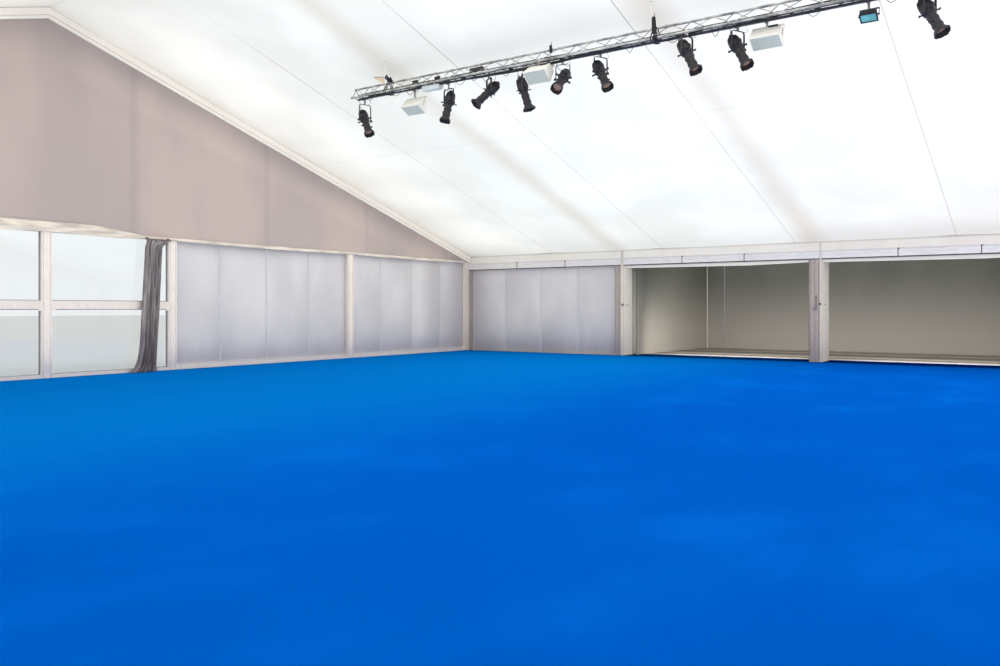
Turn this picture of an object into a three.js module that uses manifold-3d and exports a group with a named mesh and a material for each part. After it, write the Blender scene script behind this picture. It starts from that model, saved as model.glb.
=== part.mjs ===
// Clear-span event marquee with a side annex, a glazed gable and a hung lighting truss.
// Units are millimetres, +Z is up. The hall's ridge runs along Y at x = 0.
// The glazed front gable stands in the plane y = 0 and the hall runs towards -Y.
import * as THREE from "three";
import { mergeVertices } from "three/addons/utils/BufferGeometryUtils.js";
import Module from "manifold-3d";

const wasm = await Module();
wasm.setup();

// Driving dimensions
const GAP = 0.3; // clearance left between neighbouring pieces
const BAY = 5000; // spacing of the portal frames
const BAYS = 4; // bays of the hall
const FLOOR = 120; // cassette floor, from the ground to the carpet
const INNER = 12420; // ridge line to the inner face of a leg
const LEG = 240; // leg depth across the hall
const FRAME_WIDTH = 240; // width of a portal frame along the hall
const RAFTER = 260; // rafter depth, measured straight up
const SLOPE = Math.tan(THREE.MathUtils.degToRad(16.87)); // roof pitch
const LINING_EAVE = FLOOR + 2780; // underside of the roof lining at the legs
const LINING = 6; // lining thickness
const COVER = 8; // roof cover thickness
const OVERHANG = 60; // roof cover past the frames
const BEAM_BOTTOM = FLOOR + 2353; // eave beam, underside
const BEAM_TOP = FLOOR + 2560; // eave beam, top, where the side fascia starts
const BEAM = 100; // eave beam thickness
const HEADER_BOTTOM = FLOOR + 2296; // white header over the annex openings
const WALL_IN = 12530; // side wall panel, inner face
const WALL_OUT = 12640; // side wall panel, outer face

const UPRIGHT = 180; // gable upright width
const UPRIGHTS = [0, 2500, 7500]; // gable uprights, distance from the ridge line
const GABLE_DEPTH = 100; // gable framing, along Y
const GABLE_RAIL = 150; // rail at eave height
const RAIL_BOTTOM = FLOOR + 2600;
const SILL = 60; // rail on the floor
const TOP_RAIL = 80; // rail under the rafters
const TRANSOM_BOTTOM = FLOOR + 1220;
const TRANSOM_TOP = FLOOR + 1370;
const GLASS_FACE = 20; // inner face of the glass, from the gable plane
const GLASS = 12;
const SHEET = 40; // outer wall sheets of the gables

const ANNEX_IN = 12670; // annex inner leg, hall side
const ANNEX_POST = 410; // annex inner leg depth
const ANNEX_EAVE_IN = 12910; // annex roof edge at the gutter
const ANNEX_OUT = 18200; // annex outer face
const ANNEX_EAVE = 3075; // annex rafter top at its eaves
const ANNEX_RAFTER = 140;
const ANNEX_BAYS = 2;
const END_WALL = 160; // lined end wall of the annex
const BACK_WALL_IN = 17900; // annex back wall, inside the outer legs
const BACK_WALL_OUT = ANNEX_OUT - LEG - GAP;
const GUTTER_FLOOR = 2950;
const GUTTER_TOP = 3060;
const GUTTER_SKIN = 12;

const TRUSS_X = 3280; // centre line of the lighting truss
const TRUSS_Z = FLOOR + 4990; // lower chords
const TRUSS_START = -4340; // end nearest the glazed gable
const TRUSS_LENGTH = 11500;
const TRUSS_SPACING = 185; // chord spacing
const CHORD = 17.5; // chord radius
const LACING = 6; // lacing radius
const TRUSS_PANELS = 38;
const HANGER = 8; // radius of the bars that carry the truss
const HANGER_PAST = 90; // from the middle of a frame to its hanger
const LOOM = 30; // radius of the cable loom laid in the truss
const LAMP_RADIUS = 85;

const LENGTH = BAY * BAYS;
const OUTER = INNER + LEG;
const HALF_FRAME = FRAME_WIDTH / 2;
const ANNEX_RIDGE = (ANNEX_EAVE_IN + ANNEX_OUT) / 2;

// Looks used in the plain model
const LOOKS = {
  aluminium: [0xb9b7c6, 0.45, 0.7],
  steel: [0x9a9ca0, 0.4, 0.8],
  pvc: [0xf2f2f0, 0.6, 0],
  lining: [0xfaf9f6, 0.9, 0],
  taupe: [0xa39b9a, 0.9, 0],
  panel: [0xb5b3bd, 0.7, 0],
  carpet: [0x0c4fb0, 1, 0],
  striped: [0x77716f, 0.9, 0],
  curtain: [0x7d7880, 0.95, 0],
  glass: [0xdfeaf0, 0.05, 0],
  lamp: [0x26252a, 0.5, 0.3],
  lamp_white: [0xe8e8e6, 0.5, 0.1],
};

const marquee = new THREE.Group();
marquee.name = "event_marquee";

function add(name, geometry, look) {
  const [color, roughness, metalness] = LOOKS[look];
  const material = new THREE.MeshStandardMaterial({ color, roughness, metalness });
  const mesh = new THREE.Mesh(geometry, material);
  mesh.name = name;
  marquee.add(mesh);
}

// Turns a geometry into a manifold-3d solid, for joining and cutting.
function solid(geometry) {
  const bare = geometry.clone();
  bare.deleteAttribute("normal");
  bare.deleteAttribute("uv");
  const merged = mergeVertices(bare, 1e-3);
  const mesh = new wasm.Mesh({
    numProp: 3,
    vertProperties: new Float32Array(merged.attributes.position.array),
    triVerts: new Uint32Array(merged.index.array),
  });
  return new wasm.Manifold(mesh);
}

function geometryOf(body) {
  const mesh = body.getMesh();
  const geometry = new THREE.BufferGeometry();
  geometry.setAttribute("position", new THREE.BufferAttribute(mesh.vertProperties, 3));
  geometry.setIndex(new THREE.BufferAttribute(mesh.triVerts, 1));
  geometry.computeVertexNormals();
  return geometry;
}

function joined(geometries) {
  return geometryOf(geometries.map(solid).reduce((sum, next) => sum.add(next)));
}

function box(x0, x1, y0, y1, z0, z1) {
  const geometry = new THREE.BoxGeometry(x1 - x0, y1 - y0, z1 - z0);
  return geometry.translate((x0 + x1) / 2, (y0 + y1) / 2, (z0 + z1) / 2);
}

function outline(points) {
  return new THREE.Shape(points.map(([u, v]) => new THREE.Vector2(u, v)));
}

// A flat outline given in x and z, made into a solid that runs from y0 to y1.
function alongY(shape, y0, y1) {
  const geometry = new THREE.ExtrudeGeometry(shape, { depth: y1 - y0, bevelEnabled: false });
  return geometry.rotateX(Math.PI / 2).translate(0, y1, 0);
}

// A flat outline given in x and y, made into a solid that runs from z0 to z1.
function alongZ(shape, z0, z1, steps = 1) {
  const run = { depth: z1 - z0, steps, bevelEnabled: false };
  return new THREE.ExtrudeGeometry(shape, run).translate(0, 0, z0);
}

// A straight bar with flat facets between two points.
function bar(from, to, radius, sides) {
  const axis = new THREE.Vector3().subVectors(to, from);
  const geometry = new THREE.CylinderGeometry(radius, radius, axis.length(), sides);
  const turn = new THREE.Quaternion();
  turn.setFromUnitVectors(new THREE.Vector3(0, 1, 0), axis.clone().normalize());
  const middle = new THREE.Vector3().addVectors(from, to).multiplyScalar(0.5);
  return geometry.applyQuaternion(turn).translate(middle.x, middle.y, middle.z);
}

// Heights of the hall roof, straight above x
const liningUnder = (x) => LINING_EAVE + (INNER - Math.abs(x)) * SLOPE;
const rafterUnder = (x) => liningUnder(x) + LINING + GAP;
const rafterTop = (x) => rafterUnder(x) + RAFTER;
const annexTop = (x) =>
  ANNEX_EAVE + (ANNEX_OUT - ANNEX_RIDGE - Math.abs(x - ANNEX_RIDGE)) * SLOPE;

// Portal frames: two legs and two rafters, notched for the eave beams and fascias.
const notch = INNER + BEAM + GAP;
const half = [
  [OUTER, 0],
  [OUTER, rafterTop(OUTER)],
  [0, rafterTop(0)],
];
const halfInside = [
  [0, rafterUnder(0)],
  [notch, rafterUnder(notch)],
  [notch, BEAM_BOTTOM - GAP],
  [INNER, BEAM_BOTTOM - GAP],
  [INNER, 0],
];
const mirrored = (points) => points.map(([x, z]) => [-x, z]).reverse();
const portal = outline([
  ...half,
  ...mirrored(half).slice(1),
  ...mirrored(halfInside),
  ...halfInside.slice(1),
]);
for (let i = 0; i <= BAYS; i += 1) {
  const y = -i * BAY;
  add(`frame_${i + 1}`, alongY(portal, y - HALF_FRAME, y + HALF_FRAME), "aluminium");
}

// Floor of the hall, between the legs
add(
  "hall_floor",
  box(-INNER + GAP, INNER - GAP, -LENGTH - HALF_FRAME, HALF_FRAME, 0, FLOOR),
  "carpet",
);

// Eave beams and the white fascias above them run the whole length in the frame notches.
for (const [side, sign] of [["left", -1], ["right", 1]]) {
  const inner = sign * INNER;
  const outer = sign * (INNER + BEAM);
  const [x0, x1] = [Math.min(inner, outer), Math.max(inner, outer)];
  const beam = box(x0, x1, -LENGTH - HALF_FRAME, HALF_FRAME, BEAM_BOTTOM, BEAM_TOP - GAP);
  add(`eave_beam_${side}`, beam, "aluminium");
  const fascia = outline([
    [inner, BEAM_TOP],
    [outer, BEAM_TOP],
    [outer, liningUnder(outer) - GAP],
    [inner, liningUnder(inner) - GAP],
  ]);
  add(`side_fascia_${side}`, alongY(fascia, -LENGTH - HALF_FRAME, HALF_FRAME), "lining");
}

// Side walls: a panel in each bay, and only a header where the bay opens to the annex
function sideWall(sign, bottom) {
  return outline([
    [sign * WALL_IN, bottom],
    [sign * WALL_OUT, bottom],
    [sign * WALL_OUT, rafterTop(WALL_OUT) - GAP],
    [sign * WALL_IN, rafterTop(WALL_IN) - GAP],
  ]);
}
for (let i = 0; i < BAYS; i += 1) {
  const y1 = -i * BAY - HALF_FRAME - GAP;
  const y0 = -(i + 1) * BAY + HALF_FRAME + GAP;
  add(`left_wall_${i + 1}`, alongY(sideWall(-1, 0), y0, y1), "pvc");
  const open = i > 0 && i <= ANNEX_BAYS;
  const name = open ? `annex_header_${i}` : `right_wall_${i + 1}`;
  add(name, alongY(sideWall(1, open ? HEADER_BOTTOM : 0), y0, y1), open ? "lining" : "panel");
}

// Roof: an outer cover and an inner lining on each slope
const hangerPoints = [1, 2, 3].map((i) => -i * BAY - HANGER_PAST);
for (const [side, sign] of [["left", -1], ["right", 1]]) {
  const edge = OUTER + OVERHANG;
  const cover = outline([
    [sign * GAP, rafterTop(GAP) + GAP],
    [sign * edge, rafterTop(edge) + GAP],
    [sign * edge, rafterTop(edge) + GAP + COVER],
    [sign * GAP, rafterTop(GAP) + GAP + COVER],
  ]);
  const past = HALF_FRAME + OVERHANG;
  add(`roof_cover_${side}`, alongY(cover, -LENGTH - past, past), "pvc");
  const far = INNER + BEAM - GAP;
  const lining = outline([
    [sign * GAP, liningUnder(GAP)],
    [sign * far, liningUnder(far)],
    [sign * far, liningUnder(far) + LINING],
    [sign * GAP, liningUnder(GAP) + LINING],
  ]);
  const inset = GABLE_DEPTH / 2 + 2 * LINING;
  const sheet = alongY(lining, -LENGTH + inset, -inset);
  if (side === "left") {
    add("roof_lining_left", sheet, "lining");
  } else {
    // Openings where the truss hangers pass through
    const holes = hangerPoints.map((y) => {
      const z = liningUnder(TRUSS_X);
      return solid(box(TRUSS_X - 30, TRUSS_X + 30, y - 30, y + 30, z - 60, z + 60));
    });
    const pierced = holes.reduce((body, hole) => body.subtract(hole), solid(sheet));
    add("roof_lining_right", geometryOf(pierced), "lining");
  }
}

// Gable framing: sill, uprights, a rail at eave height and rails under the rafters
function gableFrame(glazed, y) {
  const reach = INNER - GAP;
  const shape = outline([
    [-reach, FLOOR + GAP],
    [reach, FLOOR + GAP],
    [reach, rafterUnder(reach) - GAP],
    [0, rafterUnder(0) - GAP],
    [-reach, rafterUnder(reach) - GAP],
  ]);
  const edges = [...UPRIGHTS, reach - UPRIGHT / 2];
  const holes = [];
  for (const sign of [-1, 1]) {
    for (let i = 0; i < UPRIGHTS.length; i += 1) {
      const from = edges[i] + UPRIGHT / 2;
      const to = edges[i + 1] - UPRIGHT / 2;
      const low = [
        [sign * from, FLOOR + SILL],
        [sign * to, FLOOR + SILL],
        [sign * to, RAIL_BOTTOM],
        [sign * from, RAIL_BOTTOM],
      ];
      holes.push(low);
      const top = Math.min(to, 11800);
      const bottom = RAIL_BOTTOM + GABLE_RAIL;
      const high = [
        [sign * from, bottom],
        [sign * top, bottom],
        [sign * top, rafterUnder(top) - TOP_RAIL],
        [sign * from, rafterUnder(from) - TOP_RAIL],
      ];
      holes.push(high);
    }
  }
  const y0 = y - GABLE_DEPTH / 2;
  const y1 = y + GABLE_DEPTH / 2;
  let frame = solid(alongY(shape, y0, y1));
  for (const hole of holes) {
    frame = frame.subtract(solid(alongY(outline(hole), y0 - 10, y1 + 10)));
  }
  if (glazed) {
    const end = UPRIGHTS[1] - UPRIGHT / 4;
    const face = y + GLASS_FACE - GAP;
    frame = frame.add(solid(box(-end, end, y0, face, TRANSOM_BOTTOM, TRANSOM_TOP)));
  }
  return geometryOf(frame);
}
add("front_gable_frame", gableFrame(true, 0), "aluminium");
add("back_gable_frame", gableFrame(false, -LENGTH), "aluminium");

// Glass on both sides of the centre upright
const paneIn = UPRIGHT / 2 + GAP;
const paneOut = UPRIGHTS[1] - UPRIGHT / 2 - GAP;
for (const [side, sign] of [["left", -1], ["right", 1]]) {
  const x0 = Math.min(sign * paneIn, sign * paneOut);
  const x1 = Math.max(sign * paneIn, sign * paneOut);
  const z0 = FLOOR + SILL + GAP;
  const pane = box(x0, x1, GLASS_FACE, GLASS_FACE + GLASS, z0, RAIL_BOTTOM - GAP);
  add(`gable_glass_${side}`, pane, "glass");
}

// Wall sheets outside the gable framing
const outside = GABLE_DEPTH / 2 + GAP;
const sheetEdge = INNER - GAP;
const gableSplit = RAIL_BOTTOM + GABLE_RAIL / 2;
for (const [side, sign] of [["left", -1], ["right", 1]]) {
  const near = UPRIGHTS[1] - UPRIGHT / 4;
  const x0 = Math.min(sign * near, sign * sheetEdge);
  const x1 = Math.max(sign * near, sign * sheetEdge);
  const wall = box(x0, x1, outside, outside + SHEET, FLOOR + GAP, gableSplit - GAP);
  add(`front_wall_${side}`, wall, "pvc");
}
function gableOutline(bottom) {
  return outline([
    [-sheetEdge, bottom],
    [sheetEdge, bottom],
    [sheetEdge, rafterUnder(sheetEdge) - GAP],
    [0, rafterUnder(0) - GAP],
    [-sheetEdge, rafterUnder(sheetEdge) - GAP],
  ]);
}
add("front_gable_sheet", alongY(gableOutline(gableSplit), outside, outside + SHEET), "pvc");
const backSheet = alongY(
  gableOutline(FLOOR + GAP),
  -LENGTH - outside - SHEET,
  -LENGTH - outside,
);
add("back_gable_wall", backSheet, "pvc");

// Flat linings inside both gables, from the rail up to the rafters
const frontLining = alongY(gableOutline(RAIL_BOTTOM), -outside - LINING, -outside);
add("front_gable_lining", frontLining, "taupe");
const backLining = alongY(
  gableOutline(RAIL_BOTTOM),
  -LENGTH + outside,
  -LENGTH + outside + LINING,
);
add("back_gable_lining", backLining, "taupe");

// Gathered curtains beside the glazing, folded in plan, whose leading edges spread at the foot
const CURTAIN_IN = 1830;
const CURTAIN_OUT = 2330;
const CURTAIN_FLARE = 470;
const CURTAIN_TOP = RAIL_BOTTOM + 60;
function flared(geometry) {
  const place = geometry.attributes.position;
  for (let i = 0; i < place.count; i += 1) {
    const lift = (place.getZ(i) - FLOOR) / (CURTAIN_TOP - FLOOR);
    const share = (CURTAIN_OUT - Math.abs(place.getX(i))) / (CURTAIN_OUT - CURTAIN_IN);
    const spread = CURTAIN_FLARE * share * (1 - lift) ** 2.4;
    place.setX(i, place.getX(i) - Math.sign(place.getX(i)) * spread);
  }
  geometry.computeVertexNormals();
  return geometry;
}
for (const [side, sign] of [["left", -1], ["right", 1]]) {
  const folds = 6;
  const from = CURTAIN_IN;
  const to = CURTAIN_OUT;
  const front = [];
  const back = [];
  for (let i = 0; i <= folds * 2; i += 1) {
    const x = from + ((to - from) * i) / (folds * 2);
    const wave = i % 2 === 0 ? 0 : 60;
    front.push([sign * x, -outside - LINING - 150 - wave]);
    back.push([sign * x, -outside - LINING - 2 * GAP - 40 + (i % 2 === 0 ? 0 : 40)]);
  }
  const plan = outline([...front, ...back.reverse()]);
  add(`curtain_${side}`, flared(alongZ(plan, FLOOR + 3, CURTAIN_TOP, 8)), "curtain");
}

// Annex portal frames, with the deep inner leg that carries the gutter
const postOut = ANNEX_IN + ANNEX_POST;
const annexLegIn = ANNEX_OUT - LEG;
const annexUnder = (x) => annexTop(x) - ANNEX_RAFTER;
const annexPortal = outline([
  [ANNEX_IN, 0],
  [postOut, 0],
  [postOut, annexUnder(postOut)],
  [ANNEX_RIDGE, annexUnder(ANNEX_RIDGE)],
  [annexLegIn, annexUnder(annexLegIn)],
  [annexLegIn, 0],
  [ANNEX_OUT, 0],
  [ANNEX_OUT, ANNEX_EAVE],
  [ANNEX_RIDGE, annexTop(ANNEX_RIDGE)],
  [ANNEX_EAVE_IN, ANNEX_EAVE],
  [ANNEX_EAVE_IN, GUTTER_FLOOR - GAP],
  [ANNEX_IN, GUTTER_FLOOR - GAP],
]);
for (let i = 1; i <= ANNEX_BAYS + 1; i += 1) {
  const y = -i * BAY;
  const frame = alongY(annexPortal, y - HALF_FRAME, y + HALF_FRAME);
  add(`annex_frame_${i}`, frame, "aluminium");
}

const annexFront = -BAY - HALF_FRAME - GAP;
const annexBack = -(ANNEX_BAYS + 1) * BAY + HALF_FRAME + GAP;

// Gutter between the two roofs
const gutterIn = ANNEX_IN + 10;
const gutterOut = ANNEX_EAVE_IN - 10;
const gutter = outline([
  [gutterIn, GUTTER_FLOOR],
  [gutterOut, GUTTER_FLOOR],
  [gutterOut, GUTTER_TOP],
  [gutterOut - GUTTER_SKIN, GUTTER_TOP],
  [gutterOut - GUTTER_SKIN, GUTTER_FLOOR + GUTTER_SKIN],
  [gutterIn + GUTTER_SKIN, GUTTER_FLOOR + GUTTER_SKIN],
  [gutterIn + GUTTER_SKIN, GUTTER_TOP],
  [gutterIn, GUTTER_TOP],
]);
const gutterRun = HALF_FRAME + GAP;
add("gutter", alongY(gutter, annexBack - 2 * gutterRun, annexFront + 2 * gutterRun), "aluminium");

// Annex roof covers
for (const [side, from, to] of [
  ["inner", ANNEX_EAVE_IN - 30, ANNEX_RIDGE - GAP],
  ["outer", ANNEX_RIDGE + GAP, ANNEX_OUT + OVERHANG],
]) {
  const cover = outline([
    [from, annexTop(from) + GAP],
    [to, annexTop(to) + GAP],
    [to, annexTop(to) + GAP + COVER],
    [from, annexTop(from) + GAP + COVER],
  ]);
  const past = FRAME_WIDTH + GAP + OVERHANG;
  add(`annex_roof_${side}`, alongY(cover, annexBack - past, annexFront + past), "pvc");
}

// Annex end walls, lined on both faces and closed up to the roof
const endWall = outline([
  [ANNEX_EAVE_IN + 5, FLOOR + GAP],
  [BACK_WALL_IN - GAP, FLOOR + GAP],
  [BACK_WALL_IN - GAP, annexTop(BACK_WALL_IN - GAP) - GAP],
  [ANNEX_RIDGE, annexTop(ANNEX_RIDGE) - GAP],
  [ANNEX_EAVE_IN + 5, annexTop(ANNEX_EAVE_IN + 5) - GAP],
]);
add("annex_end_wall_front", alongY(endWall, annexFront - END_WALL, annexFront), "panel");
add("annex_end_wall_back", alongY(endWall, annexBack, annexBack + END_WALL), "panel");

// Annex back wall: two halves that meet in front of the middle leg, notched for the rafters
function backWall(heightAt) {
  return outline([
    [BACK_WALL_IN, 0],
    [BACK_WALL_OUT, 0],
    [BACK_WALL_OUT, heightAt(BACK_WALL_OUT) - GAP],
    [BACK_WALL_IN, heightAt(BACK_WALL_IN) - GAP],
  ]);
}
for (let i = 1; i <= ANNEX_BAYS; i += 1) {
  const y1 = -i * BAY;
  const y0 = -(i + 1) * BAY;
  const inset = HALF_FRAME + GAP;
  const [low0, low1] = i === 1 ? [y0 + GAP / 2, y1 - inset] : [y0 + inset, y1 - GAP / 2];
  const low = alongY(backWall(annexUnder), low0, low1);
  const high = alongY(backWall(annexTop), y0 + inset, y1 - inset);
  add(`annex_back_wall_${i}`, joined([low, high]), "panel");
}

// Annex floor, cut round the inner leg of the middle frame
const middle = -2 * BAY;
const clear = HALF_FRAME + GAP;
const floorIn = INNER;
const floorOut = BACK_WALL_IN - GAP;
const annexFloor = outline([
  [floorIn, annexBack],
  [floorOut, annexBack],
  [floorOut, annexFront],
  [floorIn, annexFront],
  [floorIn, middle + clear],
  [postOut + GAP, middle + clear],
  [postOut + GAP, middle - clear],
  [floorIn, middle - clear],
]);
add("annex_floor", alongZ(annexFloor, 0, FLOOR), "striped");

// Lighting truss: three chords with zigzag lacing and a hanger under each rafter
const chordHeight = (TRUSS_SPACING * Math.sqrt(3)) / 2;
const chordAt = [
  [TRUSS_X - TRUSS_SPACING / 2, TRUSS_Z],
  [TRUSS_X + TRUSS_SPACING / 2, TRUSS_Z],
  [TRUSS_X, TRUSS_Z + chordHeight],
];
const trussEnd = TRUSS_START - TRUSS_LENGTH;
const trussBars = chordAt.map(([x, z]) =>
  bar(new THREE.Vector3(x, TRUSS_START, z), new THREE.Vector3(x, trussEnd, z), CHORD, 8),
);
for (let face = 0; face < 3; face += 1) {
  const a = chordAt[face];
  const b = chordAt[(face + 1) % 3];
  for (let i = 0; i < TRUSS_PANELS; i += 1) {
    const step = (TRUSS_LENGTH - 100) / TRUSS_PANELS;
    const y0 = TRUSS_START - 50 - i * step;
    const [p, q] = i % 2 === 0 ? [a, b] : [b, a];
    const from = new THREE.Vector3(p[0], y0, p[1]);
    const to = new THREE.Vector3(q[0], y0 - step, q[1]);
    trussBars.push(bar(from, to, LACING, 4));
  }
}
for (const y of hangerPoints) {
  const top = rafterUnder(TRUSS_X + HANGER) - GAP;
  const from = new THREE.Vector3(TRUSS_X, y, TRUSS_Z + chordHeight);
  trussBars.push(bar(from, new THREE.Vector3(TRUSS_X, y, top), HANGER, 8));
}
add("lighting_truss", joined(trussBars), "steel");

// Cable loom, laid along the truss on its lower lacing
const loomZ = TRUSS_Z + LACING + GAP + LOOM;
const loomFrom = new THREE.Vector3(TRUSS_X, -13950, loomZ);
add("cable_loom", bar(loomFrom, new THREE.Vector3(TRUSS_X, -4450, loomZ), LOOM, 8), "lamp");

// Profile spot lamps: a clamp and yoke under a lower chord, the housing and the lens tube
const nearChord = TRUSS_X - TRUSS_SPACING / 2;
const farChord = TRUSS_X + TRUSS_SPACING / 2;
const clampTop = TRUSS_Z - CHORD - GAP;
const yokeReach = 115; // middle of the yoke to an arm
function yoke(drop, bridge) {
  const stem = box(-14, 14, -14, 14, clampTop - bridge, clampTop);
  const across = box(-15, 15, -yokeReach, yokeReach, clampTop - bridge - 6, clampTop - bridge + 6);
  const arms = [-1, 1].map((side) => {
    const face = side * yokeReach;
    return box(-15, 15, face - 5, face + 5, clampTop - drop - 20, clampTop - bridge + 5);
  });
  const pivots = box(-12, 12, -yokeReach, yokeReach, clampTop - drop, clampTop - drop + 24);
  return [stem, across, ...arms, pivots];
}
function spotLamp(x, y, aim, drop, bridge) {
  const profile = [
    [0, 230],
    [60, 230],
    [LAMP_RADIUS, 190],
    [LAMP_RADIUS, 0],
    [62, -30],
    [62, -250],
    [92, -260],
    [92, -320],
    [0, -320],
  ];
  const points = profile.map(([r, h]) => new THREE.Vector2(r, h)).reverse();
  const pitch = Math.atan2(-aim.z, Math.hypot(aim.x, aim.y));
  const body = new THREE.LatheGeometry(points, 10).rotateZ(Math.PI / 2).rotateY(pitch);
  body.translate(0, 0, clampTop - drop + 12);
  const lamp = joined([...yoke(drop, bridge), body]);
  return lamp.rotateZ(Math.atan2(aim.y, aim.x)).translate(x, y, 0);
}

// Chord, place along the truss, aim, lower chord to pivot, and lower chord to the yoke's bridge
const spots = [
  [farChord, -4495, [-0.15, -0.49, -0.86], 380, 90],
  [farChord, -6405, [-0.28, 0.05, -0.96], 350, 90],
  [farChord, -7225, [-0.57, 0.43, -0.7], 270, 45],
  [farChord, -7895, [0.1, -0.27, -0.96], 350, 90],
  [farChord, -8600, [-0.74, -0.09, -0.66], 270, 45],
  [farChord, -9245, [-0.25, -0.5, -0.83], 280, 45],
  [nearChord, -10660, [-0.14, -0.47, -0.87], 290, 45],
  [farChord, -11300, [-0.22, -0.48, -0.85], 290, 45],
  [farChord, -13600, [-0.2, -0.45, -0.87], 280, 45],
];
spots.forEach(([x, y, aim, drop, bridge], i) => {
  const lamp = spotLamp(x, y, new THREE.Vector3(...aim).normalize(), drop, bridge);
  add(`spot_lamp_${i + 1}`, lamp, "lamp");
});

// Loudspeaker cabinets with a sloping grille, and a small flood lamp, each hung under a chord
function cabinet(x, y, drop, size, tilt) {
  const [width, deep, tall, taper] = size;
  const side = outline([
    [-deep / 2, -tall / 2],
    [deep / 2, -tall / 2],
    [deep / 2 - taper, tall / 2],
    [-deep / 2 + taper, tall / 2],
  ]);
  const body = alongY(side, -width / 2, width / 2).rotateY(tilt);
  body.computeBoundingBox();
  body.translate(x, y, clampTop - drop - body.boundingBox.max.z);
  const stem = box(x - 14, x + 14, y - 14, y + 14, clampTop - drop - tall / 2, clampTop);
  return joined([stem, body]);
}
const speakers = [
  [farChord, -5670, 130, 0.5],
  [nearChord, -8290, 37, 0.75],
  [farChord, -11690, 58, 0.5],
];
speakers.forEach(([x, y, drop, tilt], i) => {
  const speaker = cabinet(x, y, drop, [400, 240, 220, 45], tilt);
  add(`loudspeaker_${i + 1}`, speaker, "lamp_white");
});
add("flood_lamp", cabinet(farChord, -12930, 96, [210, 150, 90, 20], 0.5), "lamp");

// The row frame has its origin under the middle of the whole building.
const xMin = -(OUTER + OVERHANG);
const xMax = ANNEX_OUT + OVERHANG;
marquee.position.set(-(xMin + xMax) / 2, LENGTH / 2, 0);

export default marquee;
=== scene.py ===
import math
import random

import bmesh
import bpy
from mathutils import Matrix, Vector, noise


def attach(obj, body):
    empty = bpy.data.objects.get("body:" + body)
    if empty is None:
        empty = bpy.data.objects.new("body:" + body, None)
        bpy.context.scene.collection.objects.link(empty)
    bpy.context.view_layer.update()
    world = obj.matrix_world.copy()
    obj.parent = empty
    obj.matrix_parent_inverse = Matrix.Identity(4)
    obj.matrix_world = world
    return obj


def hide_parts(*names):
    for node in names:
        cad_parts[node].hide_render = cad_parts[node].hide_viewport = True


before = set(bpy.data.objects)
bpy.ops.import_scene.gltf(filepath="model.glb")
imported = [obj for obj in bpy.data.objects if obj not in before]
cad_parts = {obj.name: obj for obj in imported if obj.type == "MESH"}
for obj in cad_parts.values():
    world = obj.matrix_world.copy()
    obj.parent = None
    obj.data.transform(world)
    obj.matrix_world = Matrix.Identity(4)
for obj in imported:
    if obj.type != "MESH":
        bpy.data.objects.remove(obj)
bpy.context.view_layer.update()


# Viewpoint: eye height inside the hall, left of the middle, looking over the right-hand side
# towards the glazed gable. The lens is level, and the picture is shifted a little downwards.
viewpoint = bpy.data.objects.new("viewpoint", bpy.data.cameras.new("viewpoint"))
bpy.context.collection.objects.link(viewpoint)
viewpoint.location = (-10.42, -5.08, 1.343)
viewpoint.rotation_euler = (math.radians(90), 0, math.radians(-55.28))
viewpoint.data.lens = 30.28
viewpoint.data.sensor_width = 36
viewpoint.data.shift_y = -0.0241
viewpoint.data.clip_start = 0.05
viewpoint.data.clip_end = 300
bpy.context.scene.camera = viewpoint


# Hall floor: cassettes 2.5 m long with an aluminium edge, on levelling feet, decked with plywood.
# Needle felt carpet comes in rolls 2 m wide, butted edge to edge, with a painted highlight of window light
# near the glazing.
ORIGIN = Vector((-2.77, 10.0, 0.0))
FLOOR = 0.12
HALF_SPAN = 12.42
LENGTH = 20.0
DECK_END = 0.12
CARPET_BLUE = (1, 86, 184)
CARPET_PALE = (4, 98, 200)
CARPET_DEEP = (0, 66, 158)


def linear(colour):
    """A colour given as 0 to 255 in each part, as a shader wants it."""
    parts = [c / 255 for c in colour]
    return (*[c / 12.92 if c <= 0.04045 else ((c + 0.055) / 1.055) ** 2.4 for c in parts], 1.0)


def shaded(colour, by):
    """The same colour, darker or lighter."""
    return tuple(min(255, c * by) for c in colour)


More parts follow.
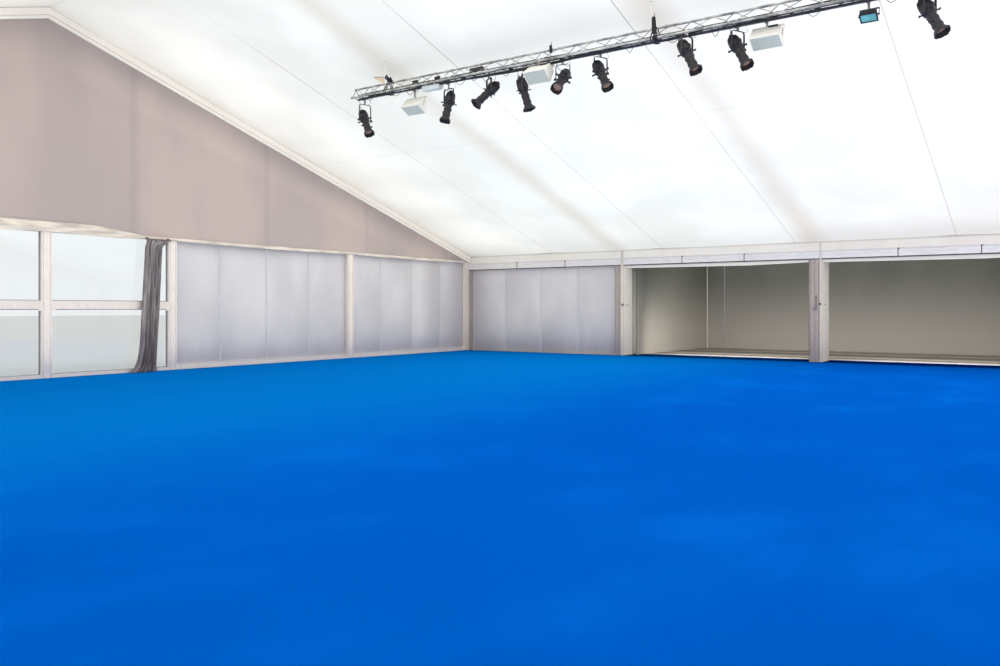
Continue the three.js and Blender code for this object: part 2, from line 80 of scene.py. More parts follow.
class Finish:
    """A surface finish, built up pattern by pattern on the piece's own place in space."""

    def __init__(self, name, roughness, metallic=0.0):
        self.material = bpy.data.materials.new(name)
        self.material.use_nodes = True
        self.tree = self.material.node_tree
        self.shader = self.tree.nodes["Principled BSDF"]
        self.shader.inputs["Roughness"].default_value = roughness
        self.shader.inputs["Metallic"].default_value = metallic
        self.here = self.tree.nodes.new("ShaderNodeTexCoord").outputs["Object"]

    def plug(self, value, socket):
        """Feeds a socket from another one, or sets it to a number or a colour."""
        if isinstance(value, bpy.types.NodeSocket):
            self.tree.links.new(value, socket)
        else:
            socket.default_value = linear(value) if isinstance(value, tuple) else value

    def stretched(self, x, y, z):
        made = self.tree.nodes.new("ShaderNodeMapping")
        made.inputs["Scale"].default_value = (x, y, z)
        self.plug(self.here, made.inputs["Vector"])
        return made.outputs["Vector"]

    def mottle(self, scale, detail=3.0, where=None, rough=0.5):
        made = self.tree.nodes.new("ShaderNodeTexNoise")
        made.inputs["Scale"].default_value = scale
        made.inputs["Detail"].default_value = detail
        made.inputs["Roughness"].default_value = rough
        self.plug(where or self.here, made.inputs["Vector"])
        return made.outputs["Fac"]

    def along(self, axis):
        made = self.tree.nodes.new("ShaderNodeSeparateXYZ")
        self.plug(self.here, made.inputs["Vector"])
        return made.outputs[axis]

    def sum(self, how, first, second=0.0):
        made = self.tree.nodes.new("ShaderNodeMath")
        made.operation = how
        self.plug(first, made.inputs[0])
        self.plug(second, made.inputs[1])
        return made.outputs[0]

    def off_lines(self, axis, first, pitch):
        """How far a point is from the nearest of a row of lines."""
        return self.sum("PINGPONG", self.sum("SUBTRACT", self.along(axis), first), pitch / 2)

    def fade(self, value, start, end, low=0.0, high=1.0):
        made = self.tree.nodes.new("ShaderNodeMapRange")
        made.interpolation_type = "SMOOTHSTEP"
        self.plug(value, made.inputs["Value"])
        for socket, number in (("From Min", start), ("From Max", end), ("To Min", low), ("To Max", high)):
            made.inputs[socket].default_value = number
        return made.outputs["Result"]

    def between(self, share, first, second):
        made = self.tree.nodes.new("ShaderNodeMix")
        made.data_type = "RGBA"
        self.plug(share, made.inputs[0])
        self.plug(first, made.inputs[6])
        self.plug(second, made.inputs[7])
        return made.outputs[2]

    def grained(self, scale, detail, depth):
        self.relief(self.mottle(scale, detail), depth)

    def coloured(self, colour):
        self.plug(colour, self.shader.inputs["Base Color"])

    def toned(self, share, first, second):
        self.coloured(self.between(share, first, second))

    def tuned(self, name, value):
        self.shader.inputs[name].default_value = value

    def roughened(self, value):
        self.plug(value, self.shader.inputs["Roughness"])

    def relief(self, height, depth, strength=1.0):
        made = self.tree.nodes.new("ShaderNodeBump")
        made.inputs["Strength"].default_value = strength
        made.inputs["Distance"].default_value = depth
        self.plug(height, made.inputs["Height"])
        self.plug(made.outputs["Normal"], self.shader.inputs["Normal"])


def block(bm, low, high):
    """A rectangular block between two corners."""
    verts = bmesh.ops.create_cube(bm, size=1.0)["verts"]
    bmesh.ops.scale(bm, vec=[high[i] - low[i] for i in range(3)], verts=verts)
    bmesh.ops.translate(bm, vec=[(high[i] + low[i]) / 2 for i in range(3)], verts=verts)
    return verts


def soften(bm, verts, radius, steps=1):
    """Rounds the edges of a shape."""
    edges = list({e for v in verts for e in v.link_edges})
    bmesh.ops.bevel(bm, geom=edges, offset=radius, segments=steps, profile=0.5, affect="EDGES", material=-1)


def slab(bm, low, high, radius, steps=1):
    """A block with rounded edges."""
    soften(bm, block(bm, low, high), radius, steps)


def rod(bm, start, end, radius, sides=10, end_radius=None):
    """A round bar, or a taper, from one point to another."""
    start, end = Vector(start), Vector(end)
    axis = end - start
    turn = axis.to_track_quat("Z", "Y").to_matrix().to_4x4()
    made = bmesh.ops.create_cone(
        bm,
        cap_ends=True,
        segments=sides,
        radius1=radius,
        radius2=radius if end_radius is None else end_radius,
        depth=axis.length,
        matrix=Matrix.Translation((start + end) / 2) @ turn,
    )
    return made["verts"]


def grid(across, up):
    """A flat square from -1 to 1, divided both ways."""
    made = bmesh.new()
    bmesh.ops.create_grid(made, x_segments=across, y_segments=up, size=1.0)
    return made


def slide(bm, by):
    bmesh.ops.translate(bm, vec=by, verts=bm.verts[:])


def paint(faces, number):
    """Gives faces the finish of that number on their piece."""
    for face in faces:
        face.material_index = number


def fix(name, bm, finishes, stands_for=(), smooth=35):
    """Sets a finished shape down in the row frame as a piece of the marquee."""
    slide(bm, ORIGIN)
    mesh = bpy.data.meshes.new(name)
    bm.to_mesh(mesh)
    bm.free()
    for finish in finishes:
        mesh.materials.append(finish.material)
    mesh.polygons.foreach_set("use_smooth", [True] * len(mesh.polygons))
    mesh.set_sharp_from_angle(angle=math.radians(smooth))
    piece = bpy.data.objects.new(name, mesh)
    bpy.context.collection.objects.link(piece)
    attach(piece, "root")
    if stands_for:
        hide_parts(*stands_for)
    return piece


def thicken(piece, thickness):
    """Gives a cloth its thickness, backwards from the face that shows."""
    made = piece.modifiers.new("thickness", "SOLIDIFY")
    made.thickness = thickness
    made.offset = -1.0


cassette_metal = Finish("cassette_aluminium", 0.42, 0.75)
brushed = cassette_metal.mottle(3.0, 4, cassette_metal.stretched(0.6, 0.6, 40))
cassette_metal.toned(brushed, (150, 150, 154), (196, 196, 200))
cassette_metal.roughened(cassette_metal.fade(brushed, 0.3, 0.7, 0.32, 0.55))
plywood = Finish("birch_plywood", 0.7)
veneer = plywood.mottle(4.0, 5, plywood.stretched(1.2, 14, 30))
plywood.toned(veneer, (150, 118, 84), (205, 176, 134))
plywood.relief(veneer, 0.0006)

deck = bmesh.new()
block(deck, (-HALF_SPAN + 0.05, -LENGTH - 0.08, 0.04), (HALF_SPAN - 0.05, 0.08, 0.113))
paint(deck.faces, 1)
for front, back in ((DECK_END, 0.078), (-LENGTH - 0.078, -LENGTH - DECK_END)):
    for i in range(10):
        left = -HALF_SPAN + 0.001 + i * (2 * HALF_SPAN / 10)
        right = left + 2 * HALF_SPAN / 10 - 0.004
        slab(deck, (left, back, 0.022), (right, front, 0.118), 0.002)
        outer = front if front > 0 else back
        lip = block(deck, (left, outer - 0.003, 0.078), (right, outer + 0.003, 0.09))
        bmesh.ops.translate(deck, vec=(0, -0.003 if front > 0 else 0.003, 0), verts=lip)
        for x in (left + 0.06, right - 0.06):
            rod(deck, (x, (front + back) / 2, 0.0), (x, (front + back) / 2, 0.008), 0.045, 14)
            rod(deck, (x, (front + back) / 2, 0.008), (x, (front + back) / 2, 0.04), 0.012, 10)
for side in (-1, 1):
    edge = block(
        deck,
        (side * HALF_SPAN - 0.025, -LENGTH - DECK_END, 0.022),
        (side * HALF_SPAN + 0.025, DECK_END, 0.118),
    )
    bmesh.ops.translate(deck, vec=(-side * 0.0253, 0, 0), verts=edge)
fix("floor_cassettes", deck, [cassette_metal, plywood], ["hall_floor"])


def felt(name, blue, pale, deep):
    """Needle felt: flecked fibres, trodden patches a shade paler, the joins between rolls, and a painted
    highlight of window light towards the glazing.
    """
    made = Finish(name, 0.95)
    fleck = made.mottle(260, 4, rough=0.7)
    trodden = made.mottle(0.45, 5, made.stretched(1.0, 1.6, 1.0), 0.6)
    fine = made.mottle(900, 2)
    body = made.between(made.fade(fleck, 0.3, 0.72), deep, blue)
    body = made.between(made.fade(trodden, 0.45, 0.78, 0.0, 0.45), body, pale)
    # Painted highlight: the felt turns a paler blue towards the glazing, as if lit by window light.
    window_highlight = made.fade(made.along("Y"), -1.5, 4.0, 0.0, 0.9)
    body = made.between(window_highlight, body, (blue[0] + 1, blue[1] + 14, blue[2] - 4))
    off = made.off_lines("X", -0.52, 2.0)
    seam = made.sum("MULTIPLY", made.fade(off, 0.006, 0.001), 0.06)
    made.toned(seam, body, shaded(deep, 0.55))
    made.relief(made.sum("SUBTRACT", made.sum("ADD", fleck, fine), made.sum("MULTIPLY", seam, 4)), 0.0025)
    made.tuned("Specular IOR Level", 0.0)
    return made


carpet_felt = felt("blue_needle_felt", CARPET_BLUE, CARPET_PALE, CARPET_DEEP)
carpet = grid(62, 50)
bmesh.ops.scale(carpet, vec=(HALF_SPAN - 0.0015, LENGTH / 2 + DECK_END, 1), verts=carpet.verts[:])
slide(carpet, (0, -LENGTH / 2, FLOOR))
for vert in carpet.verts:
    vert.co.z += 0.0012 * noise.noise(vert.co * 1.3) - 0.0006
carpet_piece = fix("hall_carpet", carpet, [carpet_felt])
thicken(carpet_piece, 0.005)


# Portal frames: box-section aluminium, two legs and two rafters, with long slots for the cloth edges
# and wall panels. Each leg stands on a steel plate that is pinned to the ground with two stakes.
SLOPE = math.tan(math.radians(16.87))
BAY = 5.0
FRAME_HALF = 0.12
LEG = 0.24
LINING_EAVE = 2.9
LINING_GAP = 0.0063
RAFTER_DEEP = 0.26
BEAM_BOTTOM = 2.473
AXES = {"x": Vector((1, 0, 0)), "y": Vector((0, 1, 0)), "z": Vector((0, 0, 1))}


def lining_under(x):
    return LINING_EAVE + (HALF_SPAN - abs(x)) * SLOPE


def rafter_under(x):
    return lining_under(x) + LINING_GAP


def rafter_top(x):
    return rafter_under(x) + RAFTER_DEEP


def dowel(bm, start, end, radius, sides, rounding, steps=1):
    """A round bar with rounded ends."""
    soften(bm, rod(bm, start, end, radius, sides), rounding, steps)


def whole(bm):
    return bm.verts[:] + bm.edges[:] + bm.faces[:]


def score(bm, axis, at):
    """Divides the faces of a shape along a plane square to an axis."""
    bmesh.ops.bisect_plane(bm, geom=whole(bm), plane_co=AXES[axis] * at, plane_no=AXES[axis], dist=1e-5)


def outward(bm):
    bmesh.ops.recalc_face_normals(bm, faces=bm.faces[:])


def mirrored(bm, merge):
    """Adds the left-hand half to a right-hand one."""
    bmesh.ops.mirror(bm, geom=whole(bm), axis="X", merge_dist=merge)
    outward(bm)


def slotted_bar(low, high, slots):
    """An extruded bar. Each slot is a face such as "-x", the axis it is measured on, its middle, its
    width and its depth."""
    bar = bmesh.new()
    block(bar, low, high)
    cuts = {(axis, round(at + way * wide / 2, 5)) for _, axis, at, wide, _ in slots for way in (-1, 1)}
    for axis, edge in sorted(cuts):
        score(bar, axis, edge)
    bar.normal_update()
    strips = []
    for face, axis, at, wide, deep in slots:
        side = AXES[face[1]] * (1 if face[0] == "+" else -1)
        strip = [
            f
            for f in bar.faces
            if f.normal.dot(side) > 0.9 and abs(f.calc_center_median().dot(AXES[axis]) - at) < wide / 2
        ]
        strips.append((strip, side * -deep))
    for strip, inward in strips:
        pressed = bmesh.ops.extrude_face_region(bar, geom=strip)["geom"]
        moved = [v for v in pressed if isinstance(v, bmesh.types.BMVert)]
        bmesh.ops.translate(bar, vec=inward, verts=moved)
        bmesh.ops.delete(bar, geom=strip, context="FACES_ONLY")
    return bar


def join(bm, part):
    """Adds one shape to another."""
    mesh = bpy.data.meshes.new("part")
    part.to_mesh(mesh)
    part.free()
    bm.from_mesh(mesh)
    bpy.data.meshes.remove(mesh)


def slant(bm, verts, rise):
    """Leans a level bar to a roof slope: straight ends stay upright."""
    lean = Matrix.Identity(4)
    lean[2][0] = rise
    bmesh.ops.transform(bm, matrix=lean, verts=verts)


def anodised(name, dark, light, grain, rough=0.38):
    """Mill-finished extrusion: fine die lines along the bar, cloudy handling marks, few scuffs."""
    made = Finish(name, rough, 0.35)
    lines = made.mottle(6.0, 5, made.stretched(*grain))
    cloud = made.mottle(1.7, 4)
    scuffs = made.fade(made.mottle(38, 6, rough=0.75), 0.66, 0.74)
    body = made.between(made.fade(lines, 0.35, 0.65), dark, light)
    body = made.between(made.fade(cloud, 0.5, 0.8, 0.0, 0.35), body, shaded(dark, 0.9))
    made.toned(made.sum("MULTIPLY", scuffs, 0.35), body, shaded(light, 1.12))
    made.roughened(made.fade(cloud, 0.3, 0.75, rough - 0.08, rough + 0.14))
    made.relief(lines, 0.0004)
    return made


leg_metal = anodised("frame_aluminium", (152, 141, 138), (177, 165, 162), (30, 30, 0.8))
rafter_metal = anodised("rafter_aluminium", (178, 175, 182), (206, 204, 210), (0.8, 30, 30))
plate_steel = Finish("galvanised_plate", 0.5, 0.7)
spangle = plate_steel.mottle(60, 5)
plate_steel.toned(spangle, (128, 131, 134), (176, 179, 182))
plate_steel.roughened(plate_steel.fade(spangle, 0.3, 0.7, 0.4, 0.65))

half_frame = bmesh.new()
leg_lines = ((0.0, 0.022, 0.010), (-0.092, 0.009, 0.012), (0.092, 0.009, 0.012))
leg_slots = [(f"{s}x", "y", *line) for s in "-+" for line in leg_lines]
leg_top = (HALF_SPAN + LEG, FRAME_HALF, BEAM_BOTTOM - 0.0003)
join(half_frame, slotted_bar((HALF_SPAN, -FRAME_HALF, 0.012), leg_top, leg_slots))
upper_leg = bmesh.new()
block(upper_leg, (HALF_SPAN + 0.1003, -FRAME_HALF, BEAM_BOTTOM), (HALF_SPAN + LEG, FRAME_HALF, 2.9))
for vert in upper_leg.verts:
    if vert.co.z > 2.6:
        vert.co.z = rafter_under(vert.co.x)
join(half_frame, upper_leg)
rafter_slots = [
    (f"{s}y", "z", rafter_under(0) + up, 0.010, 0.012) for up in (0.215, 0.045) for s in "-+"
]
rafter_slots.append(("+z", "y", 0.0, 0.020, 0.008))
rafter = slotted_bar(
    (0.0, -FRAME_HALF, rafter_under(0)), (HALF_SPAN + LEG, FRAME_HALF, rafter_top(0)), rafter_slots
)
slant(rafter, rafter.verts[:], -SLOPE)
rafter.normal_update()
ridge_cut = [f for f in rafter.faces if f.normal.x < -0.9 and abs(f.calc_center_median().x) < 1e-4]
bmesh.ops.delete(rafter, geom=ridge_cut, context="FACES_ONLY")
paint(rafter.faces, 1)
join(half_frame, rafter)
foot = bmesh.new()
slab(foot, (HALF_SPAN + 0.002, -0.118, 0.0), (HALF_SPAN + LEG, 0.118, 0.012), 0.003)
slab(foot, (HALF_SPAN + LEG + 0.001, -0.17, 0.0), (HALF_SPAN + LEG + 0.057, 0.17, 0.012), 0.003)
for y in (-0.14, 0.14):
    rod(foot, (HALF_SPAN + LEG + 0.03, y, 0.012), (HALF_SPAN + LEG + 0.03, y, 0.075), 0.013, 12)
    dowel(foot, (HALF_SPAN + LEG + 0.03, y, 0.07), (HALF_SPAN + LEG + 0.03, y, 0.088), 0.024, 12, 0.004)
for y in (-0.06, 0.06):
    rod(foot, (HALF_SPAN + LEG - 0.002, y, 0.09), (HALF_SPAN + LEG + 0.016, y, 0.09), 0.016, 6)
paint(foot.faces, 2)
join(half_frame, foot)
for i in range(5):
    portal = half_frame.copy()
    mirrored(portal, 1e-5)
    slide(portal, (0, -i * BAY, 0))
    fix(
        f"portal_frame_{i + 1}",
        portal,
        [leg_metal, rafter_metal, plate_steel],
        [f"frame_{i + 1}"],
    )
half_frame.free()


# Eave beams: slotted aluminium extrusions that run from leg to leg on both sides of the hall.
# A dark rubber bead closes the lower slot, and two slim clips a bay hook over the beam's full height.
BEAM_TOP = 2.68


def two_tone(name, roughness, pattern, dark, light, metallic=0.0):
    """A finish that clouds from one colour to another, with the pattern's scale and detail."""
    made = Finish(name, roughness, metallic)
    made.toned(made.mottle(*pattern), dark, light)
    return made


eave_metal = anodised("eave_aluminium", (214, 210, 213), (234, 231, 234), (30, 0.8, 30))
bead_rubber = two_tone("grey_rubber_bead", 0.7, (90, 3), (54, 50, 53), (76, 72, 75))


def faces_of(verts):
    return {f for v in verts for f in v.link_faces}


def turn_over(bm):
    bmesh.ops.reverse_faces(bm, faces=bm.faces[:])


def to_left(bm):
    """Turns a right-hand shape into its left-hand twin."""
    bmesh.ops.scale(bm, vec=(-1, 1, 1), verts=bm.verts[:])
    turn_over(bm)


def turn_for(bm, side):
    if side == "left":
        to_left(bm)


for side in ("right", "left"):
    beam = bmesh.new()
    join(
        beam,
        slotted_bar(
            (HALF_SPAN, -LENGTH - FRAME_HALF, BEAM_BOTTOM),
            (HALF_SPAN + 0.1, FRAME_HALF, BEAM_TOP - 0.001),
            [
                ("-x", "z", BEAM_BOTTOM + 0.019, 0.030, 0.012),
                ("-x", "z", BEAM_BOTTOM + 0.118, 0.006, 0.006),
                ("-x", "z", BEAM_TOP - 0.022, 0.010, 0.012),
            ],
        ),
    )
    bead_low = (HALF_SPAN + 0.001, -LENGTH - 0.12, BEAM_BOTTOM + 0.005)
    bead = block(beam, bead_low, (HALF_SPAN + 0.011, 0.12, BEAM_BOTTOM + 0.033))
    paint(faces_of(bead), 1)
    for y in [-i * BAY - at for i in range(4) for at in (1.76, 3.35)]:
        clip_low = (HALF_SPAN - 0.003, y - 0.009, BEAM_BOTTOM + 0.002)
        clip = block(beam, clip_low, (HALF_SPAN + 0.001, y + 0.009, BEAM_TOP - 0.002))
        cap_low = (HALF_SPAN - 0.006, y - 0.030, BEAM_TOP - 0.022)
        cap = block(beam, cap_low, (HALF_SPAN + 0.001, y + 0.012, BEAM_TOP - 0.001))
        paint(faces_of(clip + cap), 1)
    turn_for(beam, side)
    fix(f"eave_beam_rail_{side}", beam, [eave_metal, bead_rubber], [f"eave_beam_{side}"])


# Side fascias: a strip of white lining cloth that closes the gap between each eave beam and the roof
# lining. It is pulled over a board, with a turned-in hem at the bottom, slack ripples and painted shade
# along its top.


def waver(x, y, z):
    """Smooth unevenness from -1 to 1 at a place."""
    return noise.noise(Vector((x, y, z)))


fascia_cloth = Finish("fascia_cloth", 0.85)
shade = fascia_cloth.mottle(1.1, 4, fascia_cloth.stretched(1, 2.5, 1))
smooth_part = fascia_cloth.between(shade, (206, 200, 197), (226, 221, 218))
# Painted shade: the cloth darkens towards its top, where it meets the roof lining.
top_edge_shade = fascia_cloth.fade(fascia_cloth.along("Z"), 2.845, 2.885, 0.0, 0.6)
fascia_cloth.toned(top_edge_shade, smooth_part, (158, 152, 149))
fascia_cloth.grained(700, 2, 0.0004)
for side in ("right", "left"):
    strip = grid(240, 9)
    for vert in strip.verts:
        run, up = vert.co.x, (vert.co.y + 1) / 2
        y = -LENGTH / 2 + run * (LENGTH / 2 + FRAME_HALF)
        height = BEAM_TOP + 0.002 + up * (lining_under(HALF_SPAN) - 0.006 - BEAM_TOP)
        ripple = waver(y * 2.2, up * 1.2, 3.0) * 0.006
        hem = -0.004 if up < 0.12 else 0.0
        vert.co = Vector((HALF_SPAN + 0.004 + ripple * math.sin(up * math.pi) + hem, y, height))
    outward(strip)
    turn_for(strip, side)
    cloth_strip = fix(f"fascia_cloth_{side}", strip, [fascia_cloth], [f"side_fascia_{side}"], 80)


# Side walls: hard insulated panels, four to a bay, set between the legs in aluminium joint rails.
# The skin is white lacquered metal outside and a lavender grey inside, on a foam core.
WALL_IN = 12.53
WALL_OUT = 12.64


def lacquer(name, dark, light, rough=0.45):
    """Lacquered panel skin with a fine orange-peel, faint clouding and dust towards the foot."""
    made = Finish(name, rough)
    cloud = made.mottle(0.9, 5, made.stretched(1, 1, 0.5))
    dust = made.fade(made.along("Z"), 0.75, 0.0, 0.0, 0.4)
    body = made.between(made.fade(cloud, 0.35, 0.7), dark, light)
    spots = made.sum("MULTIPLY", dust, made.mottle(7, 5))
    made.toned(spots, body, shaded(dark, 0.82))
    made.roughened(made.fade(cloud, 0.3, 0.8, rough - 0.07, rough + 0.12))
    made.grained(160, 3, 0.0003)
    return made


wall_white = lacquer("white_panel_skin", (222, 221, 218), (238, 237, 234))
wall_grey = lacquer("lavender_grey_skin", (176, 173, 180), (192, 189, 195))
joint_metal = anodised("joint_rail_aluminium", (182, 180, 186), (208, 206, 211), (30, 30, 0.8), 0.42)
HARD_SKIN = [wall_white, wall_grey, joint_metal]


def hard_wall(length, height, thick, panels, rail=0.05):
    """A run of wall panels along u from 0, with v from 0 inside to thick outside, and its rails."""
    wall = bmesh.new()
    step = length / panels
    for i in range(panels):
        leaf = bmesh.new()
        slab(
            leaf, (i * step + 0.004, 0.006, 0.01), ((i + 1) * step - 0.004, thick - 0.006, height), 0.004, 2
        )
        leaf.normal_update()
        for face in leaf.faces:
            face.material_index = 0 if face.normal.y > 0.3 else 1
        join(wall, leaf)
    metal = bmesh.new()
    for i in range(panels + 1):
        u = min(max(i * step, rail / 2), length - rail / 2)
        for v0, v1 in ((0.0, 0.010), (thick - 0.010, thick)):
            slab(metal, (u - rail / 2, v0, 0.0), (u + rail / 2, v1, height), 0.002)
    for v0, v1 in ((0.001, 0.012), (thick - 0.012, thick - 0.001)):
        slab(metal, (0.0, v0, 0.0), (length, v1, 0.11), 0.002)
        block(metal, (0.0, v0, height - 0.09), (length, v1, height))
    paint(metal.faces, 2)
    join(wall, metal)
    return wall


def put(bm, matrix):
    bmesh.ops.transform(bm, matrix=matrix, verts=bm.verts[:])


def stand_wall(wall, corner, turn):
    """Turns a wall about its corner and puts it in place."""
    put(wall, Matrix.Translation(corner) @ Matrix.Rotation(turn, 4, "Z"))


side_height = rafter_top(WALL_OUT) - 0.003
bay_length = BAY - 2 * FRAME_HALF - 0.0006
for i in range(4):
    for side in ("left", "right"):
        if side == "right" and i in (1, 2):
            continue
        wall = hard_wall(bay_length, side_height, WALL_OUT - WALL_IN, 4)
        stand_wall(wall, (WALL_IN, -i * BAY - FRAME_HALF - 0.0003, 0), math.radians(-90))
        turn_for(wall, side)
        fix(f"{side}_wall_panels_{i + 1}", wall, HARD_SKIN, [f"{side}_wall_{i + 1}"])


# Headers over the annex openings: boards wrapped in white cloth between the legs. The cloth is pinned
# at the top on both faces and sags a little below the eave beam, most of all at two thirds of the bay.
HEADER_BOTTOM = 2.399
header_cloth = two_tone("header_cloth", 0.85, (1.4, 4), (208, 203, 199), (228, 224, 219))
header_cloth.grained(650, 2, 0.0004)
for i in (1, 2):
    wrap = grid(160, 36)
    drop = side_height - HEADER_BOTTOM
    round_it = 2 * drop + (WALL_OUT - WALL_IN)
    for vert in wrap.verts:
        y = -i * BAY - BAY / 2 + vert.co.x * (bay_length / 2)
        s = (vert.co.y + 1) / 2 * round_it
        run = (-i * BAY - FRAME_HALF - y) / bay_length
        slack = 0.025 * (1 - run / 0.69) if run < 0.69 else 0.034 * (run - 0.69) / 0.31
        if s < drop:
            x, z, near = WALL_IN, side_height - s, max(0.0, 1 - (drop - s) / 0.25)
        elif s < drop + WALL_OUT - WALL_IN:
            x, z, near = WALL_IN + s - drop, HEADER_BOTTOM, 1.0
        else:
            x, z = WALL_OUT, HEADER_BOTTOM + s - drop - (WALL_OUT - WALL_IN)
            near = max(0.0, 1 - (s - drop - 0.11) / 0.25)
        out = waver(y * 3, s * 2, i) * 0.004 * near
        vert.co = Vector((x + out, y, z + slack * near))
    outward(wrap)
    piece = fix(f"annex_header_cloth_{i}", wrap, [header_cloth], [f"annex_header_{i}"], 60)


# Roof covers: white coated fabric, one sheet to each bay and slope, with welded beads that slide in
# the rafter slots. Aluminium caps run down the rafters, and a flap closes the ridge.
cover_fabric = Finish("white_roof_fabric", 0.55)
stain = cover_fabric.mottle(0.5, 6, cover_fabric.stretched(0.35, 2.2, 1), 0.6)
grime = cover_fabric.mottle(2.4, 6)
clean = cover_fabric.between(cover_fabric.fade(grime, 0.4, 0.75), (236, 236, 233), (248, 248, 246))
cover_fabric.toned(cover_fabric.fade(stain, 0.55, 0.85, 0.0, 0.3), clean, (205, 205, 200))
cover_fabric.grained(420, 2, 0.0004)
cover_fabric.roughened(cover_fabric.fade(grime, 0.3, 0.75, 0.45, 0.68))
EAVE_EDGE = HALF_SPAN + LEG + 0.06
for side in ("right", "left"):
    cover = bmesh.new()
    for i in range(4):
        sheet = grid(36, 16)
        for vert in sheet.verts:
            run, across = (vert.co.x + 1) / 2, vert.co.y
            x = 0.004 + run * (EAVE_EDGE - 0.006)
            y = -BAY / 2 - i * BAY + across * (BAY / 2 - 0.085)
            bow = (1 - across * across) * (0.25 + 0.75 * math.sin(run * math.pi)) * 0.045
            ripple = waver(x * 0.5, y * 1.4, i) * 0.006 * (1 - across * across)
            vert.co = Vector((x, y, rafter_top(x) + 0.004 - bow + ripple))
        join(cover, sheet)
    for y0, y1 in ((0.085, 0.18), (-LENGTH - 0.18, -LENGTH - 0.085)):
        verge = grid(36, 1)
        for vert in verge.verts:
            x = 0.004 + (vert.co.x + 1) / 2 * (EAVE_EDGE - 0.006)
            vert.co = Vector((x, (y0 + y1) / 2 + vert.co.y * (y1 - y0) / 2, rafter_top(x) + 0.004))
        join(cover, verge)
    outward(cover)
    turn_for(cover, side)
    piece = fix(f"roof_cover_sheets_{side}", cover, [cover_fabric], [f"roof_cover_{side}"], 60)
    thicken(piece, 0.0012)
caps = bmesh.new()
for i in range(5):
    cap = slotted_bar(
        (0.002, -i * BAY - 0.095, rafter_top(0) + 0.0052),
        (EAVE_EDGE - 0.004, -i * BAY + 0.095, rafter_top(0) + 0.0078),
        [("+z", "y", -i * BAY - 0.05, 0.012, 0.0014), ("+z", "y", -i * BAY + 0.05, 0.012, 0.0014)],
    )
    slant(cap, cap.verts[:], -SLOPE)
    join(caps, cap)
mirrored(caps, -1)
for y in (0.172, -LENGTH - 0.172):
    for side in (-1, 1):
        start = (side * 0.01, y, rafter_top(0.01) - 0.004)
        rod(caps, start, (side * (EAVE_EDGE - 0.01), y, rafter_top(EAVE_EDGE - 0.01) - 0.004), 0.007, 8)
fix("rafter_caps", caps, [rafter_metal])
flap = grid(8, 80)
for vert in flap.verts:
    x = vert.co.x * 0.24
    y = -LENGTH / 2 + vert.co.y * (LENGTH / 2 + 0.175)
    vert.co = Vector((x, y, rafter_top(max(abs(x), 0.03)) + 0.0092 + 0.0012 * waver(x * 8, y * 2, 0)))
piece = fix("ridge_flap", flap, [cover_fabric])


# Roof linings: smooth white cloth slung under the rafters, in widths of 3.33 m that are seamed
# across the slope and once along it. Daylight shows the rafters through it as soft bands.
SEAM_START = -2.9
SEAM_STEP = 3.33
LONG_SEAM = 6.3
LINING_HALF = 6.258
TRUSS_X = 3.28
HANGERS = [-BAY * k - 0.09 for k in (1, 2, 3)]
lining_cloth = Finish("white_roof_lining", 0.9)
cloudy = lining_cloth.mottle(0.55, 4, rough=0.45)
cloth_white = lining_cloth.between(lining_cloth.fade(cloudy, 0.35, 0.7), (240, 236, 231), (250, 247, 243))
off_rafter = lining_cloth.off_lines("Y", ORIGIN.y, BAY)
uneven = lining_cloth.sum("MULTIPLY", lining_cloth.mottle(0.8, 3), 0.22)
rafter_shade = lining_cloth.fade(lining_cloth.sum("ADD", off_rafter, uneven), 0.62, 0.08, 0.0, 0.5)
banded = lining_cloth.between(rafter_shade, cloth_white, (216, 202, 188))
off_seam = lining_cloth.off_lines("Y", ORIGIN.y + SEAM_START, SEAM_STEP)
from_ridge = lining_cloth.sum("ABSOLUTE", lining_cloth.sum("SUBTRACT", lining_cloth.along("X"), ORIGIN.x))
off_long = lining_cloth.sum("ABSOLUTE", lining_cloth.sum("SUBTRACT", from_ridge, LONG_SEAM))
cross_seams = lining_cloth.fade(off_seam, 0.010, 0.003)
long_seams = lining_cloth.fade(off_long, 0.008, 0.002, 0.0, 0.6)
stitched = lining_cloth.sum("MAXIMUM", cross_seams, long_seams)
stitched = lining_cloth.sum("MULTIPLY", stitched, lining_cloth.fade(from_ridge, 1.4, 3.0, 0.18, 0.85))
stitched = lining_cloth.sum("MULTIPLY", stitched, lining_cloth.fade(from_ridge, 3.5, 5.0, 1.0, 0.6))
lining_cloth.toned(stitched, banded, (146, 134, 122))
lining_cloth.grained(520, 2, 0.0003)
lining_cloth.tuned("Specular IOR Level", 0.2)
for side in ("right", "left"):
    lining = grid(52, 100)
    bmesh.ops.scale(lining, vec=(LINING_HALF, LENGTH / 2 - 0.064, 1), verts=lining.verts[:])
    slide(lining, (6.26, -LENGTH / 2, 0))
    cuts = [("y", SEAM_START - SEAM_STEP * k) for k in range(6)] + [("x", LONG_SEAM)]
    if side == "right":
        cuts += [("x", TRUSS_X - 0.015), ("x", TRUSS_X + 0.015)]
        cuts += [("y", y + d) for y in HANGERS for d in (-0.015, 0.015)]
    for axis, at in cuts:
        score(lining, axis, at)
    if side == "right":
        openings = [
            f
            for f in lining.faces
            if abs(f.calc_center_median().x - TRUSS_X) < 0.015
            and any(abs(f.calc_center_median().y - y) < 0.015 for y in HANGERS)
        ]
        bmesh.ops.delete(lining, geom=openings, context="FACES")
    for vert in lining.verts:
        x, y = vert.co.x, vert.co.y
        seam = abs((y - SEAM_START + SEAM_STEP / 2) % SEAM_STEP - SEAM_STEP / 2) / (SEAM_STEP / 2)
        belly = (1 - (1 - seam) ** 3) * 0.012
        long_seam = min(1.0, abs(x - LONG_SEAM) / 2.0)
        drift = waver(x * 0.35, y * 0.5, 1.0) * 0.008
        vert.co.z = lining_under(x) + 0.003 - belly * (0.5 + 0.5 * long_seam) + drift
    turn_over(lining)
    turn_for(lining, side)
    piece = fix(f"lining_cloth_{side}", lining, [lining_cloth], [f"roof_lining_{side}"], 60)


